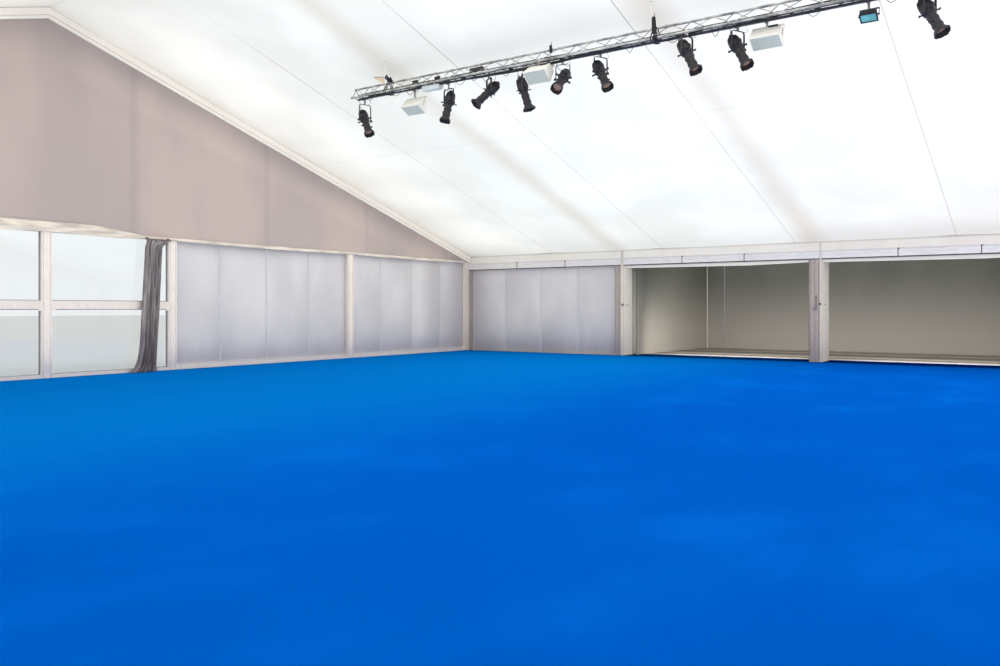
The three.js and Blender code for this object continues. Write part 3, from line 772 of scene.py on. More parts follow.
# Gable framing: slotted aluminium uprights on the floor, a rail at eave height, rails under the
# rafters, and a transom across the glazed middle of the front gable, all pinned together.
UPRIGHT = 0.18
UPRIGHTS = (2.5, 7.5, HALF_SPAN - 0.0003 - UPRIGHT / 2)
RAIL_BOTTOM = 2.72
RAIL_TOP = 2.87
GABLE_HALF = 0.05
TRANSOM = (1.34, 1.49)
gable_metal = anodised("gable_aluminium", (219, 208, 203), (240, 229, 223), (30, 30, 0.8))
for end in ("front", "back"):
    glazed = end == "front"
    framing = bmesh.new()
    for middle in (0.0, *UPRIGHTS):
        lines = [(f"{s}y", "x", middle + d, 0.010, 0.010) for s in "-+" for d in (-0.062, 0.062)]
        upright = slotted_bar(
            (middle - UPRIGHT / 2, -GABLE_HALF, FLOOR + 0.0003),
            (middle + UPRIGHT / 2, GABLE_HALF, 4.0),
            lines,
        )
        for vert in upright.verts:
            if vert.co.z > 3.9:
                vert.co.z = rafter_under(vert.co.x) - 0.0006
        if middle == 0.0:
            centre_upright = upright
            continue
        join(framing, upright)
    for start, stop in zip((0.0, *UPRIGHTS), UPRIGHTS):
        left, right = start + UPRIGHT / 2, stop - UPRIGHT / 2
        for low, high in ((RAIL_BOTTOM, RAIL_TOP), (FLOOR + 0.0003, FLOOR + 0.06)):
            lines = [
                (f"{s}y", "z", low + d, 0.008, 0.008) for s in "-+" for d in (0.026, high - low - 0.026)
            ]
            join(
                framing,
                slotted_bar((left, -GABLE_HALF, low), (right, GABLE_HALF, high), lines if high > 1 else []),
            )
        head = slotted_bar(
            (left, -GABLE_HALF, rafter_under(0) - 0.08), (right, GABLE_HALF, rafter_under(0) - 0.0006), []
        )
        slant(head, head.verts[:], -SLOPE)
        join(framing, head)
    if glazed:
        lines = [("-y", "z", TRANSOM[0] + d, 0.008, 0.008) for d in (0.022, 0.075, 0.128)]
        join(
            framing, slotted_bar((UPRIGHT / 2, -GABLE_HALF, TRANSOM[0]), (2.41, 0.0197, TRANSOM[1]), lines)
        )
        for x in (0.125, 2.375):
            slab(framing, (x - 0.03, -0.054, 1.31), (x + 0.03, -0.049, 1.34), 0.002)
    bmesh.ops.mirror(framing, geom=whole(framing), axis="X", merge_dist=-1)
    join(framing, centre_upright)
    outward(framing)
    slide(framing, (0, 0 if glazed else -LENGTH, 0))
    fix(f"{end}_gable_uprights", framing, [gable_metal], [f"{end}_gable_frame"])


# Glazing: two toughened panes behind the transom, each held by grey rubber gaskets all round.
pane = Finish("clear_glass", 0.03)
smear = pane.mottle(2.2, 5, pane.stretched(1, 1, 0.35))
sheer = pane.tree.nodes.new("ShaderNodeBsdfTransparent")
sheer.inputs["Color"].default_value = (0.965, 0.985, 0.98, 1.0)
shine = pane.tree.nodes.new("ShaderNodeBsdfGlossy")
pane.plug(pane.fade(smear, 0.4, 0.75, 0.01, 0.12), shine.inputs["Roughness"])
mixed = pane.tree.nodes.new("ShaderNodeMixShader")
mixed.inputs[0].default_value = 0.06
pane.plug(sheer.outputs[0], mixed.inputs[1])
pane.plug(shine.outputs[0], mixed.inputs[2])
pane.plug(mixed.outputs[0], pane.tree.nodes["Material Output"].inputs["Surface"])
for side in ("left", "right"):
    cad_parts[f"gable_glass_{side}"].material_slots[0].material = pane.material
gasket_rubber = two_tone("grey_gasket", 0.6, (120, 3), (112, 116, 124), (146, 150, 158))
gaskets = bmesh.new()
for low, high in ((FLOOR + 0.0605, 1.3398), (1.4902, RAIL_BOTTOM - 0.0006)):
    for y0, y1 in ((0.010, 0.0197), (0.0323, 0.040)):
        inside = y1 < 0.03
        z0, z1 = (low, high) if inside else (FLOOR + 0.0605, RAIL_BOTTOM - 0.0006)
        if not inside and low > 1:
            continue
        for x0, x1 in ((0.0905, 0.104), (2.396, 2.4095)):
            slab(gaskets, (x0, y0, z0), (x1, y1, z1), 0.002)
        for a, b in ((z0, z0 + 0.013), (z1 - 0.013, z1)):
            slab(gaskets, (0.104, y0, a), (2.396, y1, b), 0.002)
mirrored(gaskets, -1)
fix("glazing_gaskets", gaskets, [gasket_rubber])


# Gable walls: thin hard panels outside the framing up to the eave rail, and above them white coated
# fabric stretched over the framing, with flat bars screwed over its joins at the uprights.
for side in ("right", "left"):
    wall = hard_wall(HALF_SPAN - 0.0006 - 2.455, 2.673, 0.04, 8, 0.04)
    stand_wall(wall, (2.455, 0.0503, FLOOR + 0.0005), 0)
    turn_for(wall, side)
    fix(f"front_wall_panels_{side}", wall, HARD_SKIN, [f"front_wall_{side}"])
for side in ("right", "left"):
    wall = hard_wall(HALF_SPAN - 0.0010, 2.673, 0.04, 10, 0.04)
    stand_wall(wall, (0.0004, -0.0903, FLOOR + 0.0005), 0)
    for face in wall.faces:
        if face.material_index < 2:
            face.material_index = 1 - face.material_index
    slide(wall, (0, -LENGTH, 0))
    turn_for(wall, side)
    fix(f"back_wall_panels_{side}", wall, HARD_SKIN, ["back_gable_wall"])


def crop_to_roof(bm, peak):
    """Cuts off what stands above the two roof slopes that meet at a peak."""
    for way in (-1, 1):
        slope_up = Vector((way * SLOPE, 0, 1)).normalized()
        bmesh.ops.bisect_plane(bm, geom=whole(bm), plane_co=peak, plane_no=slope_up, clear_outer=True)


def gable_cloth(bottom, across, up):
    """A sheet in the gable's shape: a grid, cut off along both roof slopes."""
    sheet = grid(across, up)
    peak = rafter_under(0) - 0.004
    for vert in sheet.verts:
        vert.co = Vector(
            (vert.co.x * (HALF_SPAN - 0.001), 0, bottom + (vert.co.y + 1) / 2 * (peak - bottom))
        )
    crop_to_roof(sheet, (0, 0, peak))
    return sheet


GABLE_SPLIT = 2.796
for end, y, out in (("front", 0.078, 1), ("back", -LENGTH - 0.078, -1)):
    sheet = gable_cloth(GABLE_SPLIT, 96, 18)
    for vert in sheet.verts:
        nearest = min(abs(abs(vert.co.x) - u) for u in (0.0, 2.5, 7.5, HALF_SPAN))
        vert.co.y = y + out * 0.010 - out * 0.022 * min(1.0, nearest / 1.2)
        vert.co.y += waver(vert.co.x * 0.9, vert.co.z * 1.5, 5) * 0.004
    if end == "front":
        turn_over(sheet)
    piece = fix(
        f"{end}_gable_cover",
        sheet,
        [cover_fabric],
        ["front_gable_sheet"] if end == "front" else [],
        60,
    )
    thicken(piece, 0.0012)
    bars = bmesh.new()
    for u in (-7.5, -2.5, 0.0, 2.5, 7.5):
        strap = block(bars, (u - 0.03, y + out * 0.0045, GABLE_SPLIT), (u + 0.03, y + out * 0.0122, 3.5))
        for vert in strap:
            if vert.co.z > 3.4:
                vert.co.z = rafter_under(abs(u) + 0.03) - 0.01
    slab(
        bars,
        (-HALF_SPAN + 0.002, y - 0.004, GABLE_SPLIT - 0.002),
        (HALF_SPAN - 0.002, y + 0.012, GABLE_SPLIT + 0.05),
        0.003,
    )
    outward(bars)
    fix(f"{end}_gable_bars", bars, [joint_metal])


# Gable linings: taupe cloth in widths of 3.2 m, hung flat inside both gables from the slope down to
# the eave rail. Its seams pull it into faint upright creases, and painted shade darkens the cloth along
# them.
taupe_cloth = Finish("taupe_lining", 0.92)
dapple = taupe_cloth.mottle(0.5, 4, taupe_cloth.stretched(1.0, 1.0, 0.35))
ground_tone = taupe_cloth.between(taupe_cloth.fade(dapple, 0.35, 0.7), (156, 143, 143), (169, 154, 151))
off_width = taupe_cloth.off_lines("X", ORIGIN.x + 1.64, 3.21)
# Painted shade: the cloth is darker along the creases at its seams.
crease_shade = taupe_cloth.fade(off_width, 0.16, 0.0, 0.0, 0.20)
crease_shaded = taupe_cloth.between(crease_shade, ground_tone, (126, 116, 116))
stitch = taupe_cloth.fade(off_width, 0.008, 0.002, 0.0, 0.14)
taupe_cloth.toned(stitch, crease_shaded, (112, 100, 99))
weave = taupe_cloth.sum(
    "ADD", taupe_cloth.mottle(600, 2), taupe_cloth.mottle(40, 3, taupe_cloth.stretched(1, 1, 0.15))
)
taupe_cloth.relief(weave, 0.0008)
taupe_cloth.tuned("Sheen Weight", 0.15)
for end, y, inward in (("front", -0.0545, -1), ("back", -LENGTH + 0.0545, 1)):
    sheet = gable_cloth(RAIL_BOTTOM + 0.005, 200, 22)
    for vert in sheet.verts:
        off = abs((vert.co.x - 1.64 + 3.21 / 2) % 3.21 - 3.21 / 2)
        fold = math.exp(-((off / 0.10) ** 2)) * 0.010 * math.cos(off * 60)
        vert.co.y = y + inward * (abs(fold) + 0.003 * waver(vert.co.x * 1.8, vert.co.z * 0.7, 9))
    if end == "back":
        turn_over(sheet)
    piece = fix(f"{end}_taupe_lining", sheet, [taupe_cloth], [f"{end}_gable_lining"], 80)


# Gable trims: a cream lacquered box section under the lining along both slopes. A shadow groove
# parts its deep upper face from the narrow lower one.
trim_lacquer = Finish("cream_trim_lacquer", 0.5)
trim_cloud = trim_lacquer.mottle(1.5, 4, trim_lacquer.stretched(0.5, 1, 1))
trim_lacquer.toned(trim_cloud, (224, 216, 209), (240, 233, 227))
trim_lacquer.grained(140, 3, 0.0003)
for end, base, inward in (("front", -0.0635, -1), ("back", -LENGTH + 0.0635, 1)):
    trim = bmesh.new()
    top = lining_under(0) - 0.014
    block(trim, (0.0, base, top - 0.125), (HALF_SPAN - 0.02, base + inward * 0.075, top))
    block(trim, (0.0, base, top - 0.186), (HALF_SPAN - 0.02, base + inward * 0.052, top - 0.135))
    bead = block(trim, (0.0, base, top - 0.136), (HALF_SPAN - 0.02, base + inward * 0.040, top - 0.124))
    slant(trim, trim.verts[:], -SLOPE)
    ends = [f for f in trim.faces if abs(f.calc_center_median().x) < 1e-4]
    bmesh.ops.delete(trim, geom=ends, context="FACES_ONLY")
    mirrored(trim, 1e-5)
    fix(f"{end}_gable_trim", trim, [trim_lacquer])


# Hem bands: the spare length of white lining turned up over the eave rail of each gable and pinned
# at the uprights, so that it hangs in long shallow folds between them.
hem_cloth = Finish("turned_hem_cloth", 0.9)
hem_cloud = hem_cloth.fade(hem_cloth.mottle(2.2, 5, hem_cloth.stretched(1, 1, 6)), 0.28, 0.74)
hem_cloth.toned(hem_cloud, (172, 163, 158), (214, 203, 194))
hem_cloth.grained(500, 2, 0.0004)
for end, base, inward in (("front", -0.066, -1), ("back", -LENGTH + 0.066, 1)):
    band = grid(260, 14)
    posts = sorted([0.0] + [s * u for u in UPRIGHTS for s in (-1, 1)])
    for vert in band.verts:
        x, up = vert.co.x * (HALF_SPAN - 0.25), (vert.co.y + 1) / 2
        nearest = min(abs(x - p) for p in posts)
        slack = min(1.0, nearest / 1.2)
        low = RAIL_BOTTOM - 0.012 - 0.020 * slack
        lifted = min(1.0, max(0.0, (2.1 - abs(x)) / 1.3))
        high = RAIL_BOTTOM + 0.045 + 0.125 * lifted * lifted * (3 - 2 * lifted) - 0.008 * slack
        twist = math.exp(-(((abs(x) - 0.55) / 0.28) ** 2))
        fold = math.sin(up * math.pi) * 0.014 + 0.008 * math.sin(up * 15 * lifted + x * 0.7) * slack
        fold += twist * 0.022 * math.sin(up * 9 - (abs(x) - 0.3) * 7)
        fold += 0.008 * waver(x * 1.1, up * 3.0, 2)
        vert.co = Vector((x, base + inward * max(0.002, fold), low + (high - low) * up))
    if end == "front":
        turn_over(band)
    piece = fix(f"{end}_hem_band", band, [hem_cloth], (), 80)


# Curtains: unlined grey velvet drawn back beside the glazing, gathered on a track under the eave
# rail. Deep folds run down from the heading, and the leading edge spreads along the carpet.
CURTAIN_TOP = 2.70
velvet = Finish("mauve_grey_velvet", 0.8)
nap = velvet.mottle(5, 5, velvet.stretched(3, 3, 0.4))
pile = velvet.between(velvet.fade(nap, 0.3, 0.75), (106, 98, 104), (176, 168, 173))
# Painted shade: the fold valleys, set back towards the glazing, are darkened; the cloth is also darker and
# bluer towards the foot.
fold_valley_shade = velvet.fade(velvet.along("Y"), ORIGIN.y - 0.155, ORIGIN.y - 0.100, 0.0, 0.8)
fold_shaded = velvet.between(fold_valley_shade, pile, (58, 54, 62))
velvet.toned(velvet.fade(velvet.along("Z"), 1.5, 0.3, 0.0, 0.5), fold_shaded, (66, 62, 76))
velvet.grained(420, 3, 0.0006)
velvet.tuned("Sheen Weight", 0.45)
velvet.tuned("Sheen Roughness", 0.4)
for side in ("right", "left"):
    hanging = grid(150, 48)
    for vert in hanging.verts:
        u, v = (vert.co.x + 1) / 2, (vert.co.y + 1) / 2
        flare = 0.44 * (1 - v) ** 0.9 + 0.56 * (1 - v) ** 14
        inner = 1.86 - 0.34 * flare
        outer = 2.05 + 0.15 * v + 0.20 * max(0.0, (v - 0.95) / 0.05)
        wander = waver(u * 2.1, v * 1.1, 4.0)
        fold = 2 * math.pi * (5.5 * u + 0.22 * wander)
        heading = max(0.0, (v - 0.94) / 0.06)
        deep = (0.042 + 0.018 * (1 - v)) * (1 - 0.75 * heading)
        pleat = 0.010 * heading * math.sin(2 * math.pi * 17 * u)
        x = inner + (outer - inner) * u + 0.012 * math.sin(2 * fold + 0.7) * (1 - heading)
        y = -0.150 - 0.020 * flare + deep * math.sin(fold) + pleat - 0.030 * flare * (1 - u)
        z = FLOOR + 0.006 + (CURTAIN_TOP - FLOOR - 0.006) * v
        trail = max(0.0, 1 - v * 22)
        vert.co = Vector((x - 0.05 * trail * (1 - u), y - 0.04 * trail, z))
    turn_over(hanging)
    turn_for(hanging, side)
    piece = fix(f"velvet_curtain_{side}", hanging, [velvet], [f"curtain_{side}"], 80)
    thicken(piece, 0.0015)
track_paint = two_tone("grey_track_paint", 0.6, (40, 4), (76, 72, 78), (104, 99, 106))
track = bmesh.new()
for sign in (-1, 1):
    x0, x1 = sorted((sign * 1.84, sign * 2.40))
    slab(track, (x0, -0.165, CURTAIN_TOP - 0.004), (x1, -0.135, CURTAIN_TOP + 0.010), 0.003)
    for x in (x0 + 0.05, x1 - 0.05):
        slab(
            track,
            (x - 0.015, -0.150, CURTAIN_TOP + 0.008),
            (x + 0.015, -0.0505, CURTAIN_TOP + 0.034),
            0.002,
        )
fix("curtain_tracks", track, [track_paint])


# Annex frames: lighter slotted portals beside the hall, with a deep inner leg that carries the gutter
# between the two roofs. The pitch is the hall's own.
ANNEX_IN = 12.67
ANNEX_POST_OUT = 13.08
ANNEX_EAVE_IN = 12.91
ANNEX_OUT = 18.20
ANNEX_LEG_IN = 17.96
ANNEX_RIDGE = (ANNEX_EAVE_IN + ANNEX_OUT) / 2
ANNEX_EAVE = 3.075


def annex_top(x):
    return ANNEX_EAVE + (ANNEX_OUT - ANNEX_RIDGE - abs(x - ANNEX_RIDGE)) * SLOPE


for i in (1, 2, 3):
    portal = bmesh.new()
    face_slots = [
        (f"{s}y", "x", d, 0.010, 0.010) for s in "-+" for d in (ANNEX_IN + 0.06, ANNEX_POST_OUT - 0.06)
    ]
    join(
        portal, slotted_bar((ANNEX_IN, -FRAME_HALF, 0.0), (ANNEX_POST_OUT, FRAME_HALF, 2.9497), face_slots)
    )
    stub = block(portal, (ANNEX_EAVE_IN, -FRAME_HALF, 2.9497), (ANNEX_POST_OUT, FRAME_HALF, 3.0))
    for vert in stub:
        if vert.co.z > 2.98:
            vert.co.z = annex_top(vert.co.x) - 0.07
    outer_slots = [(s, "y", d, 0.009, 0.012) for s in ("-x", "+x") for d in (-0.09, 0.0, 0.09)]
    join(
        portal,
        slotted_bar(
            (ANNEX_LEG_IN, -FRAME_HALF, 0.012), (ANNEX_OUT, FRAME_HALF, ANNEX_EAVE - 0.02), outer_slots
        ),
    )
    for way, reach in ((-1, ANNEX_RIDGE - ANNEX_EAVE_IN), (1, ANNEX_OUT - ANNEX_RIDGE)):
        top = annex_top(ANNEX_RIDGE)
        bar = slotted_bar(
            (0.0, -FRAME_HALF, top - 0.14), (reach, FRAME_HALF, top),
            [("-y", "z", top - 0.04, 0.010, 0.012), ("+y", "z", top - 0.04, 0.010, 0.012)],
        )
        slant(bar, bar.verts[:], -SLOPE)
        if way < 0:
            to_left(bar)
        slide(bar, (ANNEX_RIDGE, 0, 0))
        join(portal, bar)
    slab(portal, (ANNEX_OUT + 0.001, -0.16, 0.0), (ANNEX_OUT + 0.055, 0.16, 0.012), 0.003)
    for y in (-0.13, 0.13):
        rod(portal, (ANNEX_OUT + 0.03, y, 0.012), (ANNEX_OUT + 0.03, y, 0.075), 0.013, 12)
        rod(portal, (ANNEX_OUT + 0.03, y, 0.07), (ANNEX_OUT + 0.03, y, 0.088), 0.022, 12)
    slide(portal, (0, -i * BAY, 0))
    fix(f"annex_portal_{i}", portal, [leg_metal], [f"annex_frame_{i}"])
gutter_metal = Finish("gutter_aluminium", 0.5, 0.5)
gutter_stain = gutter_metal.mottle(6, 6, gutter_metal.stretched(1, 0.2, 1))
gutter_metal.toned(gutter_stain, (120, 120, 118), (188, 188, 188))
gutter_metal.roughened(gutter_metal.fade(gutter_stain, 0.3, 0.7, 0.65, 0.4))
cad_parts["gutter"].material_slots[0].material = gutter_metal.material


# Leg wraps: white cloth covers over the space between the hall legs and the annex legs, with painted
# shade on the strip that faces the hall. Each is laced round the legs up to the header and holds to a
# dark turn knob at hand height.
wrap_cloth = Finish("leg_wrap_cloth", 0.85)
wrap_cloud = wrap_cloth.mottle(1.3, 5, wrap_cloth.stretched(1, 1, 0.5))
wrap_white = wrap_cloth.between(wrap_cloud, (228, 222, 214), (248, 243, 236))
# Painted shade: the strip of cloth that faces the hall is darkened.
hall_face_shade = wrap_cloth.fade(wrap_cloth.along("X"), ORIGIN.x + 12.440, ORIGIN.x + 12.424)
wrap_cloth.toned(hall_face_shade, wrap_white, (186, 179, 173))
wrap_cloth.grained(560, 2, 0.0004)
knob_plastic = two_tone("black_knob_plastic", 0.45, (60, 4), (34, 33, 36), (58, 56, 60))
WRAP_TOP = 2.86
KNOB_HEIGHT = 1.455
plans = {
    1: [(12.412, -0.060), (12.412, -0.132), (12.912, -0.132)],
    2: [(12.414, -0.116), (12.414, -0.148), (13.086, -0.148), (13.086, 0.126), (12.428, 0.126)],
    3: [(12.912, 0.132), (12.412, 0.132), (12.412, 0.060)],
}
for i, plan in plans.items():
    cover = bmesh.new()
    corners = [cover.verts.new((x, y, FLOOR + 0.004)) for x, y in plan]
    edges = [cover.edges.new(pair) for pair in zip(corners, corners[1:])]
    bends = bmesh.ops.bevel(
        cover, geom=corners[1:-1], offset=0.025, segments=4, profile=0.5, affect="VERTICES", material=-1
    )
    bmesh.ops.subdivide_edges(cover, edges=[e for e in cover.edges if e.calc_length() > 0.1], cuts=16)
    raised = bmesh.ops.extrude_edge_only(cover, edges=cover.edges[:])["geom"]
    top = [v for v in raised if isinstance(v, bmesh.types.BMVert)]
    bmesh.ops.translate(cover, vec=(0, 0, WRAP_TOP - FLOOR - 0.004), verts=top)
    upright_edges = [e for e in cover.edges if abs(e.verts[0].co.z - e.verts[1].co.z) > 1]
    bmesh.ops.subdivide_edges(cover, edges=upright_edges, cuts=30, use_grid_fill=True)
    cover.normal_update()
    outward(cover)
    cover.normal_update()
    pushes = {v: v.normal.copy() for v in cover.verts}
    middle = Vector((12.78, 0, 0))
    for vert, normal in pushes.items():
        out = normal if normal.dot(Vector((vert.co.x, vert.co.y, 0)) - middle) > 0 else -normal
        swell = 0.012 + 0.010 * waver(vert.co.x * 2.5, vert.co.y * 2.5, vert.co.z * 0.9)
        free = i == 2 or vert.co.x < 12.5
        vert.co += Vector((out.x * swell if free else 0, out.y * swell, 0))
    slide(cover, (0, -i * BAY, 0))
    round_it = sum((Vector(a) - Vector(b)).length for a, b in zip(plan, plan[1:]))
    piece = fix(f"leg_wrap_{i}", cover, [wrap_cloth], (), 50)
fittings = bmesh.new()
for i, way in ((1, -1), (2, -1), (3, 1)):
    y = -i * BAY + way * 0.122
    rod(fittings, (12.404, y, KNOB_HEIGHT), (12.380, y, KNOB_HEIGHT), 0.011, 10)
    dowel(fittings, (12.382, y, KNOB_HEIGHT), (12.362, y, KNOB_HEIGHT), 0.026, 14, 0.005, 2)
    slab(fittings, (12.394, y - 0.020, 1.435), (12.404, y + 0.020, 1.475), 0.002)
    rod(fittings, (12.375, y, 1.452), (12.700, -i * BAY + way * 0.176, 1.440), 0.004, 6)
fix("wrap_knobs", fittings, [knob_plastic])


# Winding handle: a bent steel rod, clipped upright on the face of the middle open leg.
handle_steel = two_tone("painted_handle", 0.5, (45, 4), (84, 80, 88), (120, 116, 124), 0.2)
handles = bmesh.new()
y, x = -2 * BAY - 0.03, HALF_SPAN - 0.016
rod(handles, (x, y, 1.335), (x, y, 1.640), 0.007, 10)
rod(handles, (x, y - 0.005, 1.335), (x, y + 0.062, 1.322), 0.007, 10)
rod(handles, (x, y + 0.062, 1.322), (x, y + 0.066, 1.400), 0.007, 10)
for z in (1.40, 1.60):
    slab(handles, (x - 0.012, y - 0.016, z - 0.012), (HALF_SPAN, y + 0.016, z + 0.012), 0.003)
rod(handles, (x, y, 1.63), (x, y, 1.655), 0.012, 10)
fix("winding_handle", handles, [handle_steel])


# Annex roof: white coated fabric in two bays on each slope, with caps over the rafters and a ridge
# flap, as on the hall. Its inner edge sheds into the gutter.
annex_slopes = {
    "inner": (ANNEX_EAVE_IN - 0.03, ANNEX_RIDGE - 0.0004), "outer": (ANNEX_RIDGE + 0.0004, ANNEX_OUT + 0.06)
}
for name, (start, stop) in annex_slopes.items():
    cover = bmesh.new()
    strips = [(-4.82, -4.915), (-5.085, -9.915), (-10.085, -14.915), (-15.085, -15.18)]
    for y1, y0 in strips:
        long_one = y1 - y0 > 1
        sheet = grid(12, 16 if long_one else 1)
        for vert in sheet.verts:
            run, across = (vert.co.x + 1) / 2, vert.co.y
            x = start + run * (stop - start)
            y = (y0 + y1) / 2 + across * (y1 - y0) / 2
            bow = 0.0
            if long_one:
                bow = (1 - across * across) * (0.25 + 0.75 * math.sin(run * math.pi)) * 0.028
            vert.co = Vector((x, y, annex_top(x) + 0.004 - bow))
        join(cover, sheet)
    outward(cover)
    piece = fix(f"annex_cover_{name}", cover, [cover_fabric], [f"annex_roof_{name}"], 60)
    thicken(piece, 0.0012)
annex_caps = bmesh.new()
for i in (1, 2, 3):
    for way, reach in (
        (-1, ANNEX_RIDGE - annex_slopes["inner"][0]), (1, annex_slopes["outer"][1] - ANNEX_RIDGE)
    ):
        cap = bmesh.new()
        top = annex_top(ANNEX_RIDGE)
        block(cap, (0.002, -0.095, top + 0.0052), (reach - 0.004, 0.095, top + 0.0078))
        slant(cap, cap.verts[:], -SLOPE)
        if way < 0:
            to_left(cap)
        slide(cap, (ANNEX_RIDGE, -i * BAY, 0))
        join(annex_caps, cap)
fix("annex_rafter_caps", annex_caps, [rafter_metal])
flap = grid(6, 40)
for vert in flap.verts:
    x = vert.co.x * 0.18
    top = annex_top(ANNEX_RIDGE + max(abs(x), 0.02))
    vert.co = Vector((ANNEX_RIDGE + x, -10.0 + vert.co.y * 5.175, top + 0.0092))
piece = fix("annex_ridge_flap", flap, [cover_fabric])


# Annex walls: end walls lined on both faces and closed up to the roof, and a back wall inside the
# outer legs. The lining inside is greenish grey with hair joints and two pipe trims, and painted light
# pales its foot.
BACK_WALL = 17.90
ANNEX_END = 12.915
END_LENGTH = BACK_WALL - 0.001 - ANNEX_END
annex_grey = lacquer("annex_grey_skin", (116, 120, 111), (130, 132, 124), 0.6)
# Painted light: the lining is paler towards the foot, as if lit from the hall through the openings.
painted_foot_light = annex_grey.fade(annex_grey.along("Z"), 2.5, 0.3)
annex_tone = annex_grey.shader.inputs["Base Color"].links[0].from_socket
annex_grey.toned(painted_foot_light, annex_tone, (190, 184, 176))
hair = annex_grey.sum(
    "MAXIMUM",
    annex_grey.fade(annex_grey.off_lines("Y", ORIGIN.y - 5.12, 0.9519), 0.006, 0.001),
    annex_grey.fade(annex_grey.off_lines("X", ORIGIN.x + ANNEX_END, END_LENGTH / 4), 0.006, 0.001),
)
skin_colour = annex_grey.shader.inputs["Base Color"].links[0].from_socket
annex_grey.toned(annex_grey.sum("MULTIPLY", hair, 0.30), skin_colour, (96, 92, 88))
ANNEX_SKIN = [wall_white, annex_grey, joint_metal]


def annex_panels(length, height, thick, panels):
    """Wall panels with rails outside only, and smooth closely butted skins inside."""
    wall = bmesh.new()
    skin = block(wall, (0.0, 0.0, 0.0), (length, 0.012, height))
    paint(faces_of(skin), 1)
    outer = hard_wall(length, height, thick - 0.02, panels)
    slide(outer, (0, 0.02, 0))
    inside = [f for f in outer.faces if f.calc_center_median().y < 0.035]
    bmesh.ops.delete(outer, geom=inside, context="FACES")
    join(wall, outer)
    return wall


for end, corner, turn in (("front", (ANNEX_END, -5.2803), 0), ("back", (BACK_WALL - 0.001, -14.7197), 180)):
    wall = annex_panels(END_LENGTH, 3.9, 0.16, 4)
    stand_wall(wall, (*corner, FLOOR + 0.0005), math.radians(turn))
    crop_to_roof(wall, (ANNEX_RIDGE, 0, annex_top(ANNEX_RIDGE) - 0.003))
    fix(f"annex_end_panels_{end}", wall, ANNEX_SKIN, [f"annex_end_wall_{end}"])
for i, (strip_start, strip_end) in ((1, (bay_length, bay_length + 0.1203)), (2, (-0.1203, 0.0))):
    wall = annex_panels(bay_length, annex_top(ANNEX_LEG_IN) - 0.002, ANNEX_LEG_IN - 0.0003 - BACK_WALL, 5)
    strip = block(wall, (strip_start, 0.0, 0.0), (strip_end, 0.056, annex_top(ANNEX_LEG_IN) - 0.143))
    paint(faces_of(strip), 1)
    stand_wall(wall, (BACK_WALL, -i * BAY - FRAME_HALF - 0.0003, 0), math.radians(-90))
    fix(f"annex_back_panels_{i}", wall, ANNEX_SKIN, [f"annex_back_wall_{i}"])
trims = bmesh.new()
# Painted shade: the second of the two white trims takes the greyer rail finish.
for finish_number, y in ((0, -5.34), (1, -5.90)):
    trim = bmesh.new()
    slab(
        trim, (BACK_WALL - 0.024, y - 0.014, FLOOR + 0.001), (BACK_WALL - 0.0005, y + 0.014, 2.96), 0.006, 2
    )
    paint(trim.faces, finish_number)
    join(trims, trim)
fix("annex_pipe_trims", trims, [wrap_cloth, joint_metal])


# Annex floor: the same cassettes, with a strip of needle felt between the legs painted dark blue as
# shade, and long grey laminate boards beyond a pale threshold bar, laid along the annex with dark open
# joints.
BOARD_START = 13.40
BOARD = 0.19
laminate = Finish("grey_laminate", 0.5)
board_number = laminate.sum(
    "FLOOR",
    laminate.sum("DIVIDE", laminate.sum("SUBTRACT", laminate.along("X"), ORIGIN.x + BOARD_START), BOARD),
)
tone = laminate.tree.nodes.new("ShaderNodeTexWhiteNoise")
tone.noise_dimensions = "1D"
laminate.plug(board_number, tone.inputs["W"])
grain = laminate.mottle(5, 6, laminate.stretched(22, 0.9, 1), 0.6)
across = laminate.sum("SUBTRACT", laminate.along("X"), ORIGIN.x)
# Boards near four lines across the annex are paler.
pale_bands = 0.0
for line in (13.7, 14.8, 16.5, 17.6):
    near = laminate.fade(laminate.sum("ABSOLUTE", laminate.sum("SUBTRACT", across, line)), 0.42, 0.10)
    pale_bands = laminate.sum("MAXIMUM", pale_bands, near)
lightness = laminate.sum(
    "ADD", laminate.sum("MULTIPLY", pale_bands, 0.7), laminate.sum("MULTIPLY", tone.outputs["Value"], 0.3)
)
plank = laminate.between(lightness, (108, 102, 96), (206, 198, 188))
laminate.toned(laminate.fade(grain, 0.42, 0.72, 0.0, 0.7), plank, (74, 69, 66))
laminate.roughened(laminate.fade(grain, 0.3, 0.7, 0.42, 0.62))
laminate.relief(grain, 0.0006)
base = bmesh.new()
for y1, y0, x0, x1 in (
    (-5.1205, -9.8795, HALF_SPAN + 0.0005, BACK_WALL - 0.001),
    (-9.8795, -10.1205, ANNEX_POST_OUT + 0.0005, BACK_WALL - 0.001),
    (-10.1205, -14.8795, HALF_SPAN + 0.0005, BACK_WALL - 0.001),
):
    block(base, (x0, y0, 0.03), (x1, y1, 0.1))
paint(base.faces, 1)
fix("annex_cassettes", base, [cassette_metal, plywood], ["annex_floor"])
inlay = grid(10, 60)
for vert in inlay.verts:
    vert.co = Vector((12.9102 + vert.co.x * 0.4895, -10.0 + vert.co.y * 4.8793, FLOOR - 0.0005))
for axis, at in (("y", -9.8795), ("y", -10.1205), ("x", ANNEX_POST_OUT)):
    score(inlay, axis, at)
under_leg = [
    f
    for f in inlay.faces
    if abs(f.calc_center_median().y + 10) < 0.12 and f.calc_center_median().x < ANNEX_POST_OUT
]
bmesh.ops.delete(inlay, geom=under_leg, context="FACES")
